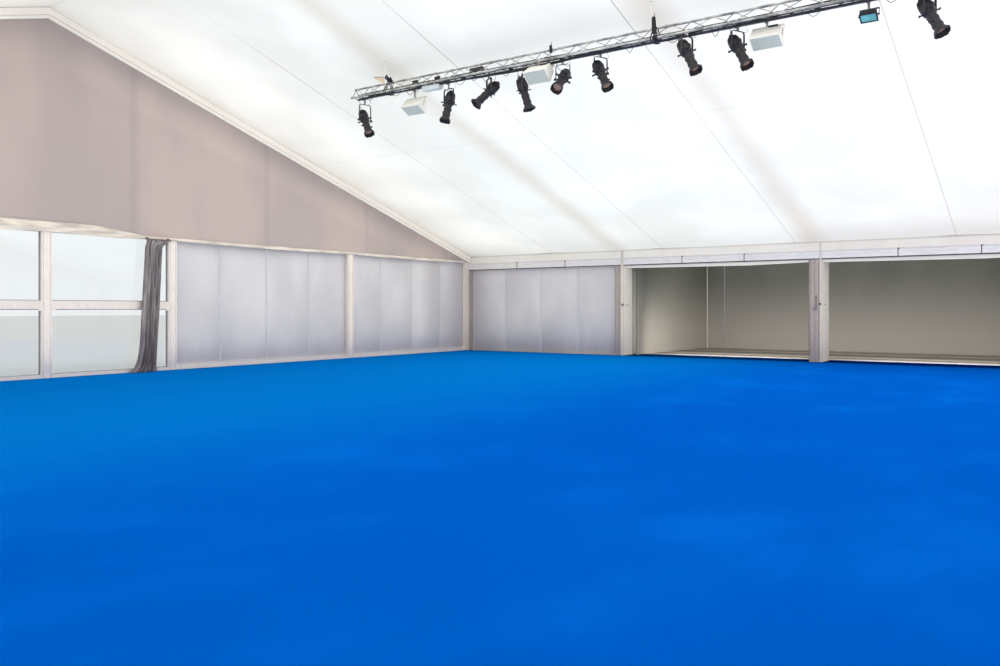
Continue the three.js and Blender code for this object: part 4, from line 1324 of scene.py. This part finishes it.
# Painted shade: the same felt in darker blues stands for the shade that falls between the legs.
shaded_inlay_felt = felt("shade_darkened_needle_felt", (2, 34, 98), (6, 44, 112), (0, 24, 78))
piece = fix("annex_carpet", inlay, [shaded_inlay_felt])
thicken(piece, 0.005)
boards = bmesh.new()
count = math.floor((BACK_WALL - BOARD_START) / BOARD)
for k in range(count):
    x0, x1 = BOARD_START + k * BOARD + 0.003, BOARD_START + (k + 1) * BOARD - 0.003
    if k == count - 1:
        x1 = BACK_WALL - 0.002
    slab(boards, (x0, -14.877, 0.101), (x1, -5.123, FLOOR - 0.001), 0.002)
fix("annex_boards", boards, [laminate])
threshold = bmesh.new()
slab(
    threshold,
    (BOARD_START - 0.028, -14.877, FLOOR - 0.0005),
    (BOARD_START + 0.028, -5.123, FLOOR + 0.012),
    0.004,
    2,
)
fix("annex_threshold", threshold, [joint_metal])


# Lighting truss: a light triangular aluminium truss on its broad face, 185 mm between chords, in bolted
# lengths. Each face has zigzag lacing, and thin white rods carry it from the rafters. Black straps and
# small black pouches hang on its chords.
TRUSS_Z = FLOOR + 4.99
TRUSS_START = -4.34
TRUSS_LENGTH = 11.5
TRUSS_HALF = 0.0925
CHORD = 0.0175
CHORDS = [
    (TRUSS_X - TRUSS_HALF, TRUSS_Z),
    (TRUSS_X + TRUSS_HALF, TRUSS_Z),
    (TRUSS_X, TRUSS_Z + TRUSS_HALF * math.sqrt(3)),
]
truss_metal = Finish("truss_aluminium", 0.36, 0.35)
rub = truss_metal.mottle(14, 6, truss_metal.stretched(1, 0.4, 1), 0.65)
truss_metal.toned(truss_metal.fade(rub, 0.35, 0.7), (124, 123, 120), (212, 210, 206))
truss_metal.roughened(truss_metal.fade(rub, 0.3, 0.75, 0.26, 0.52))
truss_metal.grained(130, 4, 0.0002)
sling_black = Finish("black_sling_web", 0.85)
web = sling_black.mottle(180, 3)
sling_black.toned(web, (20, 21, 25), (46, 46, 52))
sling_black.relief(web, 0.0008)
truss = bmesh.new()
truss_end = TRUSS_START - TRUSS_LENGTH
joints = [TRUSS_START, -7.34, -10.34, -13.34, truss_end]
for x, z in CHORDS:
    rod(truss, (x, TRUSS_START, z), (x, truss_end, z), CHORD, 20)
    for y in joints[1:-1]:
        dowel(truss, (x, y + 0.045, z), (x, y - 0.045, z), 0.0220, 16, 0.003)
        rod(truss, (x - 0.027, y, z), (x + 0.027, y, z), 0.005, 6)
    for y, inward in ((joints[0], -1), (joints[-1], 1)):
        dowel(truss, (x, y, z), (x, y + inward * 0.04, z), 0.0205, 16, 0.003)
pitch = (TRUSS_LENGTH - 0.1) / 38
for side in range(3):
    a, b = CHORDS[side], CHORDS[(side + 1) % 3]
    for k in range(38):
        y = TRUSS_START - 0.05 - k * pitch
        p, q = (a, b) if k % 2 == 0 else (b, a)
        rod(truss, (p[0], y, p[1]), (q[0], y - pitch, q[1]), 0.006, 8)
    for y in (TRUSS_START - 0.03, truss_end + 0.03):
        rod(truss, (a[0], y, a[1]), (b[0], y, b[1]), 0.008, 8)
fix("lighting_truss_tubes", truss, [truss_metal], ["lighting_truss"], 50)


def strand(bm, points, radius, closed=False, sides=3):
    """A flexible line through a few points, swept round and added to a shape."""
    line = bpy.data.curves.new("line", "CURVE")
    line.dimensions = "3D"
    line.bevel_depth = radius
    line.bevel_resolution = sides
    line.resolution_u = 4
    line.use_fill_caps = True
    spline = line.splines.new("NURBS")
    spline.points.add(len(points) - 1)
    for point, place in zip(spline.points, points):
        point.co = (*place, 1.0)
    spline.use_cyclic_u = closed
    spline.use_endpoint_u = not closed
    spline.order_u = 4
    holder = bpy.data.objects.new("line", line)
    swept = holder.to_mesh()
    bm.from_mesh(swept)
    holder.to_mesh_clear()
    bpy.data.objects.remove(holder)
    bpy.data.curves.remove(line)


def ring(wide, high):
    """Nine points of a slightly overlapping loop, as across and up from its middle."""
    return [(wide * math.sin(k * 0.7), high * math.cos(k * 0.7)) for k in range(9)]


rigging = bmesh.new()
steelwork = bmesh.new()
crown = CHORDS[2][1]
for y in HANGERS:
    head = rafter_under(TRUSS_X) - 0.001
    rod(steelwork, (TRUSS_X, y, crown + 0.035), (TRUSS_X, y, head - 0.004), 0.004, 8)
    shackle = [(TRUSS_X + x, y, crown + 0.012 + z) for x, z in ring(0.026, 0.030)]
    strand(steelwork, shackle, 0.005, True)
    slab(steelwork, (TRUSS_X - 0.012, y - 0.012, head - 0.005), (TRUSS_X + 0.012, y + 0.012, head), 0.002)
    round_all = [
        (TRUSS_X, crown + 0.034), (TRUSS_X + 0.050, crown - 0.045), (TRUSS_X + 0.130, TRUSS_Z - 0.010),
        (TRUSS_X + 0.075, TRUSS_Z - 0.040), (TRUSS_X - 0.075, TRUSS_Z - 0.040),
        (TRUSS_X - 0.130, TRUSS_Z - 0.010), (TRUSS_X - 0.050, crown - 0.045),
    ]
    for k, lag in ((0, -0.05), (1, -0.085)):
        strap = [(x, y + lag - 0.012 * math.sin(j + k), z) for j, (x, z) in enumerate(round_all)]
        strand(rigging, strap, 0.009, True)
for k in range(5):
    turn = [j / 9 * 2 * math.pi for j in range(9)]
    at = HANGERS[0] - 0.035 - 0.032 * k
    lift = (0.105, 0.072, 0.052, 0.038, 0.010)[k]
    lean = 0.028 * math.sin(k * 2.1)
    knot = [
        (
            TRUSS_X - 0.02 + 0.034 * math.sin(a),
            at + lean * math.cos(a) + 0.018 * math.sin(2 * a),
            crown + lift + 0.034 * math.cos(a),
        )
        for a in turn
    ]
    strand(rigging, knot, 0.011, True)
for y, low, high, wide in ((-10.15, -0.075, 0.165, 0.036), (-8.465, -0.055, 0.070, 0.026)):
    x = TRUSS_X - 0.024
    pouch = rod(rigging, (x, y, crown + low), (x, y + 0.01, crown + high), wide, 16, wide * 0.72)
    soften(rigging, pouch, 0.012, 2)
    strand(
        rigging,
        [
            (x, y, crown + high - 0.01),
            (x + 0.01, y, crown + high + 0.02),
            (x + 0.02, y, crown + high + 0.05),
        ],
        0.004,
    )
for k in range(4):
    near = [(TRUSS_X - TRUSS_HALF + x, -10.17 - 0.018 * k, TRUSS_Z + z) for x, z in ring(0.028, 0.032)]
    strand(rigging, near, 0.009, True)
sag = [
    (TRUSS_X - 0.03, -10.15, crown - 0.06),
    (TRUSS_X - 0.08, -10.18, crown - 0.12),
    (TRUSS_X - 0.11, -10.20, TRUSS_Z + 0.02),
]
strand(rigging, sag, 0.012)
fix("truss_slings", rigging, [sling_black], (), 60)
rod_white = two_tone("white_rod_paint", 0.5, (50, 4), (226, 223, 218), (246, 244, 240))
fix("hanger_rods", steelwork, [rod_white])


# Hanger patch: a small triangle of tan reinforcing cloth welded to the lining beside the first rod.
tan_cloth = two_tone("tan_patch_cloth", 0.85, (9, 5), (222, 192, 160), (240, 218, 194))
tan_cloth.grained(400, 2, 0.0005)
patch = grid(8, 8)
corner_a = Vector((3.614, -4.475, 0))
corner_b = Vector((3.676, -4.683, 0))
corner_c = Vector((3.853, -4.520, 0))
for vert in patch.verts:
    u, v = (vert.co.x + 1) / 2, (vert.co.y + 1) / 2
    place = corner_a + (corner_b - corner_a) * u + (corner_c - corner_b) * u * v
    vert.co = Vector((place.x, place.y, lining_under(place.x) - 0.0235))
bmesh.ops.remove_doubles(patch, verts=patch.verts[:], dist=1e-5)
patch.normal_update()
if sum(f.normal.z * f.calc_area() for f in patch.faces) > 0:
    turn_over(patch)
piece = fix("hanger_patch", patch, [tan_cloth])


# Cable loom: rubber-sheathed supply cables strapped along the truss, above and below its lower lacing,
# with short loops that sag beneath. Two connectors, a dimmer box and a pale splitter box are tied in.
cable_rubber = two_tone("black_cable_rubber", 0.6, (24, 4), (22, 22, 24), (58, 58, 62))
splitter_grey = two_tone("pale_splitter_box", 0.5, (30, 4), (166, 173, 180), (206, 211, 216))
loom = bmesh.new()
wander = random.Random(7)
for k in range(26):
    radius = (0.0075, 0.0060, 0.0095, 0.0070)[k % 4]
    under = k % 3 == 1
    if under:
        level = -0.007 - radius - wander.uniform(0.0, 0.022)
    else:
        level = 0.007 + radius + wander.uniform(0.0, 0.034)
    home = TRUSS_X + wander.uniform(-0.050, 0.062)
    start = -4.40 - wander.uniform(0.0, 0.35) if k < 20 else -6.2 - wander.uniform(0, 2.5)
    points = []
    for s in range(49):
        y = start + (-13.95 - start) * s / 48
        x = home + 0.030 * waver(y * 1.7, k * 3.1, 0)
        bulge = math.exp(-(((y + 7.9) / 0.75) ** 2)) * 0.038
        drift = 0.020 * abs(waver(y * 1.9, k * 2.3, 8))
        z = TRUSS_Z + level + (-drift - bulge * wander.uniform(0.6, 1.0) if under else drift)
        points.append((x, y, z))
    strand(loom, points, radius, sides=1)
for y in [-4.9 - 0.93 * k for k in range(10)]:
    dowel(loom, (TRUSS_X, y, TRUSS_Z + 0.012), (TRUSS_X, y - 0.04, TRUSS_Z + 0.012), 0.050, 12, 0.006)
for y, x, deep, wide in (
    (-4.72, -0.02, 0.070, 0.09), (-5.30, 0.02, 0.060, 0.12), (-5.62, 0.03, 0.085, 0.10),
    (-5.78, 0.00, 0.070, 0.07), (-6.70, 0.02, 0.080, 0.11), (-7.02, -0.02, 0.065, 0.09),
    (-7.60, 0.03, 0.075, 0.08), (-9.75, 0.02, 0.080, 0.06), (-10.42, 0.00, 0.065, 0.10),
    (-11.02, 0.02, 0.085, 0.05), (-12.30, 0.01, 0.070, 0.09), (-13.20, 0.02, 0.080, 0.08),
):
    curve = [
        (TRUSS_X + x, y + wide * (j / 3 - 1), TRUSS_Z - 0.02 - deep * math.sin(j / 6 * math.pi))
        for j in range(7)
    ]
    strand(loom, curve, 0.004, sides=1)
for y, z in ((-5.79, 0.084), (-6.27, 0.077)):
    dowel(
        loom,
        (TRUSS_X - 0.045, y + 0.05, TRUSS_Z + z - 0.008),
        (TRUSS_X - 0.045, y - 0.05, TRUSS_Z + z),
        0.026,
        14,
        0.006,
    )
slab(loom, (TRUSS_X - 0.040, -7.17, TRUSS_Z + 0.048), (TRUSS_X + 0.045, -6.93, TRUSS_Z + 0.118), 0.008, 2)
splitter = bmesh.new()
slab(
    splitter, (TRUSS_X - 0.070, -6.31, TRUSS_Z - 0.112), (TRUSS_X + 0.050, -5.95, TRUSS_Z - 0.032), 0.008, 2
)
for y in (-6.22, -6.04):
    slab(
        splitter,
        (TRUSS_X - 0.074, y - 0.008, TRUSS_Z - 0.116),
        (TRUSS_X + 0.054, y + 0.008, TRUSS_Z - 0.006),
        0.002,
    )
paint(splitter.faces, 1)
join(loom, splitter)
fix("truss_cables", loom, [cable_rubber, splitter_grey], ["cable_loom"], 60)


# Profile spots: black cast housings with a finned lamp house, four shutter handles, a stepped lens
# tube and a flared colour frame. Each hangs in a flat-bar yoke from a hook clamp on a truss chord.
FAR_CHORD = TRUSS_X + TRUSS_HALF
NEAR_CHORD = TRUSS_X - TRUSS_HALF
CLAMP_TOP = TRUSS_Z - CHORD - 0.0003
SPOTS = [
    (FAR_CHORD, -4.495, (-0.15, -0.49, -0.86), 0.380, 0.090),
    (FAR_CHORD, -6.405, (-0.28, 0.05, -0.96), 0.350, 0.090),
    (FAR_CHORD, -7.225, (-0.57, 0.43, -0.70), 0.270, 0.045),
    (FAR_CHORD, -7.895, (0.10, -0.27, -0.96), 0.350, 0.090),
    (FAR_CHORD, -8.600, (-0.74, -0.09, -0.66), 0.270, 0.045),
    (FAR_CHORD, -9.245, (-0.25, -0.50, -0.83), 0.280, 0.045),
    (NEAR_CHORD, -10.660, (-0.14, -0.47, -0.87), 0.290, 0.045),
    (FAR_CHORD, -11.300, (-0.22, -0.48, -0.85), 0.290, 0.045),
    (FAR_CHORD, -13.600, (-0.20, -0.45, -0.87), 0.280, 0.045),
]
lamp_black = Finish("black_lamp_paint", 0.48, 0.1)
speckle = lamp_black.mottle(85, 5)
rubbed = lamp_black.fade(lamp_black.mottle(22, 6, rough=0.7), 0.60, 0.72, 0.0, 0.6)
lamp_black.toned(rubbed, lamp_black.between(speckle, (30, 28, 31), (52, 49, 52)), (118, 108, 106))
lamp_black.roughened(lamp_black.fade(speckle, 0.3, 0.7, 0.38, 0.60))
lamp_black.relief(speckle, 0.0004)
# Painted reflection: the lens's pinkish white stands for a glint on the glass, not its own colour.
lens_glint = two_tone("lamp_lens_glint", 0.08, (30, 3), (84, 62, 54), (198, 160, 138))
lens_glint.tuned("Coat Weight", 1.0)
lens_glint.tuned("Coat Roughness", 0.04)


def turned(bm, profile, sides):
    """A lathe shape about the upright axis, from a profile of radius and height."""
    verts = [bm.verts.new((r, 0, h)) for r, h in profile]
    edges = [bm.edges.new(pair) for pair in zip(verts, verts[1:])]
    bmesh.ops.spin(
        bm,
        geom=verts + edges,
        axis=(0, 0, 1),
        cent=(0, 0, 0),
        steps=sides,
        angle=2 * math.pi,
        use_merge=True,
    )
    bmesh.ops.remove_doubles(bm, verts=bm.verts[:], dist=1e-5)
    outward(bm)


def spot_body():
    """The lamp itself, pointing down, with its pivot at the origin."""
    body = bmesh.new()
    turned(
        body,
        [
            (0.0, 0.228), (0.034, 0.228), (0.040, 0.222), (0.042, 0.196), (0.070, 0.188),
            (0.074, 0.180), (0.074, 0.168), (0.060, 0.166), (0.060, 0.158), (0.080, 0.156),
            (0.080, 0.146), (0.062, 0.144), (0.062, 0.136), (0.083, 0.134), (0.083, 0.124),
            (0.064, 0.122), (0.064, 0.114), (0.085, 0.112), (0.085, 0.030), (0.078, 0.020),
            (0.078, -0.004), (0.068, -0.018), (0.060, -0.022), (0.060, -0.080), (0.066, -0.084),
            (0.066, -0.104), (0.060, -0.108), (0.060, -0.178), (0.067, -0.182), (0.067, -0.206),
            (0.062, -0.210), (0.062, -0.244), (0.070, -0.250), (0.092, -0.290), (0.092, -0.318),
            (0.086, -0.318), (0.084, -0.292), (0.064, -0.256), (0.0, -0.256),
        ],
        28,
    )
    for face in body.faces:
        middle = face.calc_center_median()
        if abs(middle.z + 0.256) < 0.002 and math.hypot(middle.x, middle.y) < 0.062:
            face.material_index = 1
    for angle in (45, 135, 225, 315):
        blade = bmesh.new()
        slab(blade, (0.060, -0.017, 0.006), (0.118, 0.017, 0.0095), 0.0012)
        slab(blade, (0.112, -0.020, 0.002), (0.132, 0.020, 0.014), 0.003)
        bmesh.ops.rotate(blade, matrix=Matrix.Rotation(math.radians(angle), 3, "Z"), verts=blade.verts[:])
        join(body, blade)
    for side in (-1, 1):
        dowel(body, (0.060 * side, 0, -0.135), (0.092 * side, 0, -0.135), 0.009, 10, 0.002)
        dowel(body, (0.088 * side, 0, -0.135), (0.104 * side, 0, -0.135), 0.017, 12, 0.003)
    for angle in (0, 90, 180, 270):
        lug = bmesh.new()
        slab(lug, (0.084, -0.018, -0.322), (0.100, 0.018, -0.286), 0.003)
        bmesh.ops.rotate(lug, matrix=Matrix.Rotation(math.radians(angle), 3, "Z"), verts=lug.verts[:])
        join(body, lug)
    slab(body, (-0.030, -0.094, 0.060), (0.030, -0.080, 0.105), 0.003)
    return body


def hook_clamp(bm, x, y, low, index):
    """An aluminium hook clamp round a chord above, with its bolt and wing nut, down to the bracket."""
    clamp = bmesh.new()
    slab(clamp, (x - 0.013, y - 0.015, CLAMP_TOP - low), (x + 0.013, y + 0.015, CLAMP_TOP - 0.003), 0.003)
    bends = [math.radians(d) for d in range(-20, 195, 35)]
    arc = [(x + 0.026 * math.sin(a), TRUSS_Z - 0.026 * math.cos(a)) for a in bends]
    for shift in (-0.010, 0.0, 0.010):
        strand(clamp, [(px, y + shift, pz) for px, pz in arc], 0.0070, sides=1)
    rod(clamp, (x - 0.046, y, CLAMP_TOP - 0.022), (x + 0.018, y, CLAMP_TOP - 0.022), 0.005, 8)
    slab(clamp, (x - 0.052, y - 0.018, CLAMP_TOP - 0.029), (x - 0.044, y + 0.018, CLAMP_TOP - 0.015), 0.002)
    paint(clamp.faces, index)
    join(bm, clamp)


for i, (x, y, aim, drop, bridge) in enumerate(SPOTS, 1):
    aim = Vector(aim).normalized()
    heading = math.atan2(aim.y, aim.x)
    tilt = math.acos(max(-1.0, min(1.0, -aim.z)))
    lamp = spot_body()
    turn = Matrix.Rotation(heading, 4, "Z") @ Matrix.Rotation(-tilt, 4, "Y")
    turn = turn @ Matrix.Rotation(math.radians(90), 4, "Z")
    pivot = Vector((x, y, CLAMP_TOP - drop + 0.012))
    put(lamp, Matrix.Translation(pivot) @ turn)
    yoke = bmesh.new()
    high = drop - 0.012 - bridge
    for side in (-1, 1):
        slab(
            yoke,
            (-0.015, side * 0.115 - 0.0025, -0.02),
            (0.015, side * 0.115 + 0.0025, high - 0.032),
            0.001,
        )
        for step in range(4):
            a0, a1 = math.radians(step * 22.5), math.radians((step + 1) * 22.5)
            start = (0, side * (0.080 + 0.035 * math.cos(a0)), high - 0.035 + 0.035 * math.sin(a0))
            stop = (0, side * (0.080 + 0.035 * math.cos(a1)), high - 0.035 + 0.035 * math.sin(a1))
            corner = rod(yoke, start, stop, 0.0035, 8)
            bmesh.ops.scale(yoke, vec=(4.2, 1, 1), verts=corner)
        rod(yoke, (0, side * 0.084, 0), (0, side * 0.124, 0), 0.011, 12)
        dowel(yoke, (0, side * 0.119, 0), (0, side * 0.142, 0), 0.021, 12, 0.004)
    slab(yoke, (-0.015, -0.082, high - 0.0025), (0.015, 0.082, high + 0.0025), 0.001)
    put(yoke, Matrix.Translation(pivot) @ Matrix.Rotation(heading, 4, "Z"))
    join(lamp, yoke)
    hook_clamp(lamp, x, y, bridge, 2)
    tail_start = pivot - aim * 0.225
    tail = [
        tail_start,
        tail_start - aim * 0.05,
        tail_start + Vector((0.03, 0.05, 0.02)),
        Vector((x - 0.02, y + 0.10, CLAMP_TOP - 0.12)),
        Vector((x - 0.05, y + 0.07, TRUSS_Z - 0.02)),
        Vector((TRUSS_X, y + 0.12, TRUSS_Z - 0.01)),
    ]
    strand(lamp, tail, 0.0045, sides=1)
    loop_out = [
        Vector((x + 0.02, y, CLAMP_TOP - bridge)),
        Vector((x + 0.05, y - 0.10, CLAMP_TOP - 0.09)),
        Vector((x + 0.01, y - 0.15, CLAMP_TOP - 0.05)),
        Vector((x, y - 0.08, TRUSS_Z + 0.022)),
        Vector((x, y - 0.04, TRUSS_Z + 0.022)),
    ]
    strand(lamp, loop_out, 0.0025, sides=1)
    fix(f"profile_spot_{i}", lamp, [lamp_black, lens_glint, truss_metal], [f"spot_lamp_{i}"], 32)


# Loudspeakers: white tapered cabinets tilted towards the hall, with a grey perforated grille let into
# the broad face and a white steel bracket on a hook clamp. Two have a black plug bar on the back.
speaker_white = two_tone("speaker_white_paint", 0.5, (4, 4), (200, 199, 195), (220, 218, 214))
speaker_white.grained(170, 3, 0.0004)
grille_grey = Finish("speaker_grille", 0.5, 0.1)
pierced = grille_grey.tree.nodes.new("ShaderNodeTexVoronoi")
pierced.inputs["Scale"].default_value = 150
grille_grey.plug(grille_grey.here, pierced.inputs["Vector"])
hole = grille_grey.fade(pierced.outputs["Distance"], 0.30, 0.42)
grille_grey.toned(hole, (134, 139, 136), (188, 193, 189))
grille_grey.relief(hole, 0.0015)
for i, (x, y, gap, tilt) in enumerate(
    ((FAR_CHORD, -5.67, 0.130, 0.5), (NEAR_CHORD, -8.29, 0.037, 0.75), (FAR_CHORD, -11.69, 0.058, 0.5)), 1
):
    cabinet = bmesh.new()
    deep, tall, wide, taper = 0.24, 0.22, 0.40, 0.045
    shell = block(cabinet, (-deep / 2, -wide / 2, -tall / 2), (deep / 2, wide / 2, tall / 2))
    for vert in shell:
        if vert.co.z > 0:
            vert.co.x *= (deep / 2 - taper) / (deep / 2)
            vert.co.y *= 0.94
    bmesh.ops.bevel(
        cabinet, geom=cabinet.edges[:], offset=0.010, segments=3, profile=0.5, affect="EDGES", material=-1
    )
    mouth = min(cabinet.faces, key=lambda f: (round(f.calc_center_median().z, 4), -f.calc_area()))
    bmesh.ops.inset_individual(cabinet, faces=[mouth], thickness=0.010, depth=0.0)
    bmesh.ops.inset_individual(cabinet, faces=[mouth], thickness=0.001, depth=-0.006)
    mouth.material_index = 1
    for side in (-1, 1):
        v = side * (wide / 2 + 0.004)
        slab(cabinet, (-0.016, v - 0.0025, -0.02), (0.016, v + 0.0025, tall / 2 + 0.055), 0.001)
    slab(
        cabinet,
        (-0.016, -wide / 2 - 0.006, tall / 2 + 0.050),
        (0.016, wide / 2 + 0.006, tall / 2 + 0.055),
        0.001,
    )
    if i > 1:
        plug = bmesh.new()
        plug_low = (-deep / 2 + taper - 0.030, -wide / 2 + 0.05, tall / 2 - 0.045)
        slab(plug, plug_low, (-deep / 2 + taper + 0.02, -wide / 2 + 0.17, tall / 2 - 0.022), 0.004)
        paint(plug.faces, 2)
        join(cabinet, plug)
    crest = (deep / 2 - taper) * math.sin(tilt) + tall / 2 * math.cos(tilt)
    middle = Vector((x, y, CLAMP_TOP - gap - crest))
    turn = Matrix.Rotation(tilt, 4, "Y")
    put(cabinet, Matrix.Translation(middle) @ turn)
    hook_clamp(cabinet, x, y, gap + 0.01, 3)
    outward(cabinet)
    finishes = [speaker_white, grille_grey, lamp_black, truss_metal]
    fix(f"ceiling_speaker_{i}", cabinet, finishes, [f"loudspeaker_{i}"], 40)


# Flood lamp: a small black cast housing with cooling ribs, a sea-green toughened glass and a stirrup.
flood_glass = two_tone("sea_green_glass", 0.12, (14, 3), (60, 128, 136), (120, 186, 190))
flood_glass.tuned("Coat Weight", 0.6)
flood = bmesh.new()
shell = block(flood, (-0.075, -0.105, -0.045), (0.075, 0.105, 0.045))
for vert in shell:
    if vert.co.z > 0:
        vert.co.x *= 0.73
        vert.co.y *= 0.86
bmesh.ops.bevel(
    flood, geom=flood.edges[:], offset=0.006, segments=2, profile=0.5, affect="EDGES", material=-1
)
window = min(flood.faces, key=lambda f: (round(f.calc_center_median().z, 4), -f.calc_area()))
bmesh.ops.inset_individual(flood, faces=[window], thickness=0.016, depth=0.0)
bmesh.ops.inset_individual(flood, faces=[window], thickness=0.002, depth=-0.006)
window.material_index = 1
for k in range(7):
    y = -0.075 + k * 0.025
    slab(flood, (-0.050, y - 0.003, 0.044), (0.050, y + 0.003, 0.062), 0.001)
for side in (-1, 1):
    slab(flood, (-0.012, side * 0.112 - 0.002, -0.01), (0.012, side * 0.112 + 0.002, 0.105), 0.001)
    rod(flood, (0, side * 0.100, 0.0), (0, side * 0.124, 0.0), 0.010, 10)
slab(flood, (-0.012, -0.114, 0.100), (0.012, 0.114, 0.104), 0.001)
middle = Vector((FAR_CHORD, -12.93, CLAMP_TOP - 0.096 - 0.066))
put(flood, Matrix.Translation(middle) @ Matrix.Rotation(0.5, 4, "Y"))
hook_clamp(flood, FAR_CHORD, -12.93, 0.074, 2)
fix("flood_lamp_housing", flood, [lamp_black, flood_glass, truss_metal], ["flood_lamp"], 40)


# Floor and light: a plain pale floor, a pale even sky with one soft sun for the outside, and broad
# soft lamps inside that the lens doesn't see: under the roof lining, over the floor, in strips that
# light the eaves and the front gable from below, at the back of the hall and in both annex bays.
ground = bmesh.new()
bmesh.ops.create_grid(ground, x_segments=2, y_segments=2, size=160.0)
ground_mesh = bpy.data.meshes.new("pale_floor")
ground.to_mesh(ground_mesh)
ground.free()
pale_floor = bpy.data.objects.new("pale_floor", ground_mesh)
pale_floor.location = (0, 0, -0.002)
bpy.context.collection.objects.link(pale_floor)
pale = Finish("pale_floor_paint", 0.9)
pale.coloured((214, 213, 210))
ground_mesh.materials.append(pale.material)

sky = bpy.data.worlds.new("studio_sky")
sky.use_nodes = True
sky.node_tree.nodes["Background"].inputs["Color"].default_value = (0.97, 0.98, 1.0, 1.0)
sky.node_tree.nodes["Background"].inputs["Strength"].default_value = 1.0
bpy.context.scene.world = sky


def soft_lamp(name, at, size, power, turn, tint=(1.0, 1.0, 1.0)):
    """A broad lamp that lights the cloth evenly and isn't seen itself."""
    lamp = bpy.data.lights.new(name, "AREA")
    lamp.shape = "RECTANGLE"
    lamp.size, lamp.size_y = size
    lamp.energy = power
    lamp.color = tint
    made = bpy.data.objects.new(name, lamp)
    made.location = Vector(at) + ORIGIN
    made.rotation_euler = [math.radians(a) for a in turn]
    made.visible_camera = False
    made.visible_glossy = False
    bpy.context.collection.objects.link(made)


pitch = math.degrees(math.atan(SLOPE))
for side in (-1, 1):
    mid = side * HALF_SPAN / 2
    at = (mid, -LENGTH / 2, lining_under(mid) - 0.35)
    soft_lamp(f"roof_glow_{side}", at, (12.2, 19.0), 680, (0, side * pitch, 0), (1.0, 0.95, 0.80))
    strip = (side * 11.3, -LENGTH / 2, lining_under(11.3) - 0.95)
    soft_lamp(f"eave_glow_{side}", strip, (1.8, 19.0), 22, (180, side * pitch, 0), (1.0, 0.95, 0.84))
    front = (mid, -1.1, lining_under(mid) - 1.0)
    soft_lamp(f"front_glow_{side}", front, (12.2, 1.9), 20, (180, side * pitch, 0), (1.0, 0.95, 0.84))
soft_lamp("floor_glow", (0, -LENGTH / 2, 0.3), (23.5, 19.0), 1640, (180, 0, 0), (1.0, 0.97, 0.68))
soft_lamp("annex_glow", (15.5, -10.0, 2.8), (3.6, 9.0), 9, (0, 0, 0), (0.94, 1.0, 0.92))
for y in (-7.7, -12.3):
    soft_lamp(f"annex_low_glow_{-y:.0f}", (13.18, y, 0.85), (1.2, 3.2), 62, (0, -80, 0), (1.0, 0.97, 0.92))
soft_lamp("back_glow", (-1.5, -19.2, 2.4), (20.0, 3.4), 420, (90, 0, 0), (1.0, 0.97, 0.94))
sun = bpy.data.objects.new("soft_sun", bpy.data.lights.new("soft_sun", "SUN"))
sun.data.energy = 0.5
sun.data.angle = math.radians(12)
sun.rotation_euler = (math.radians(42), 0, math.radians(-38))
bpy.context.collection.objects.link(sun)
bpy.context.scene.view_settings.view_transform = "Standard"
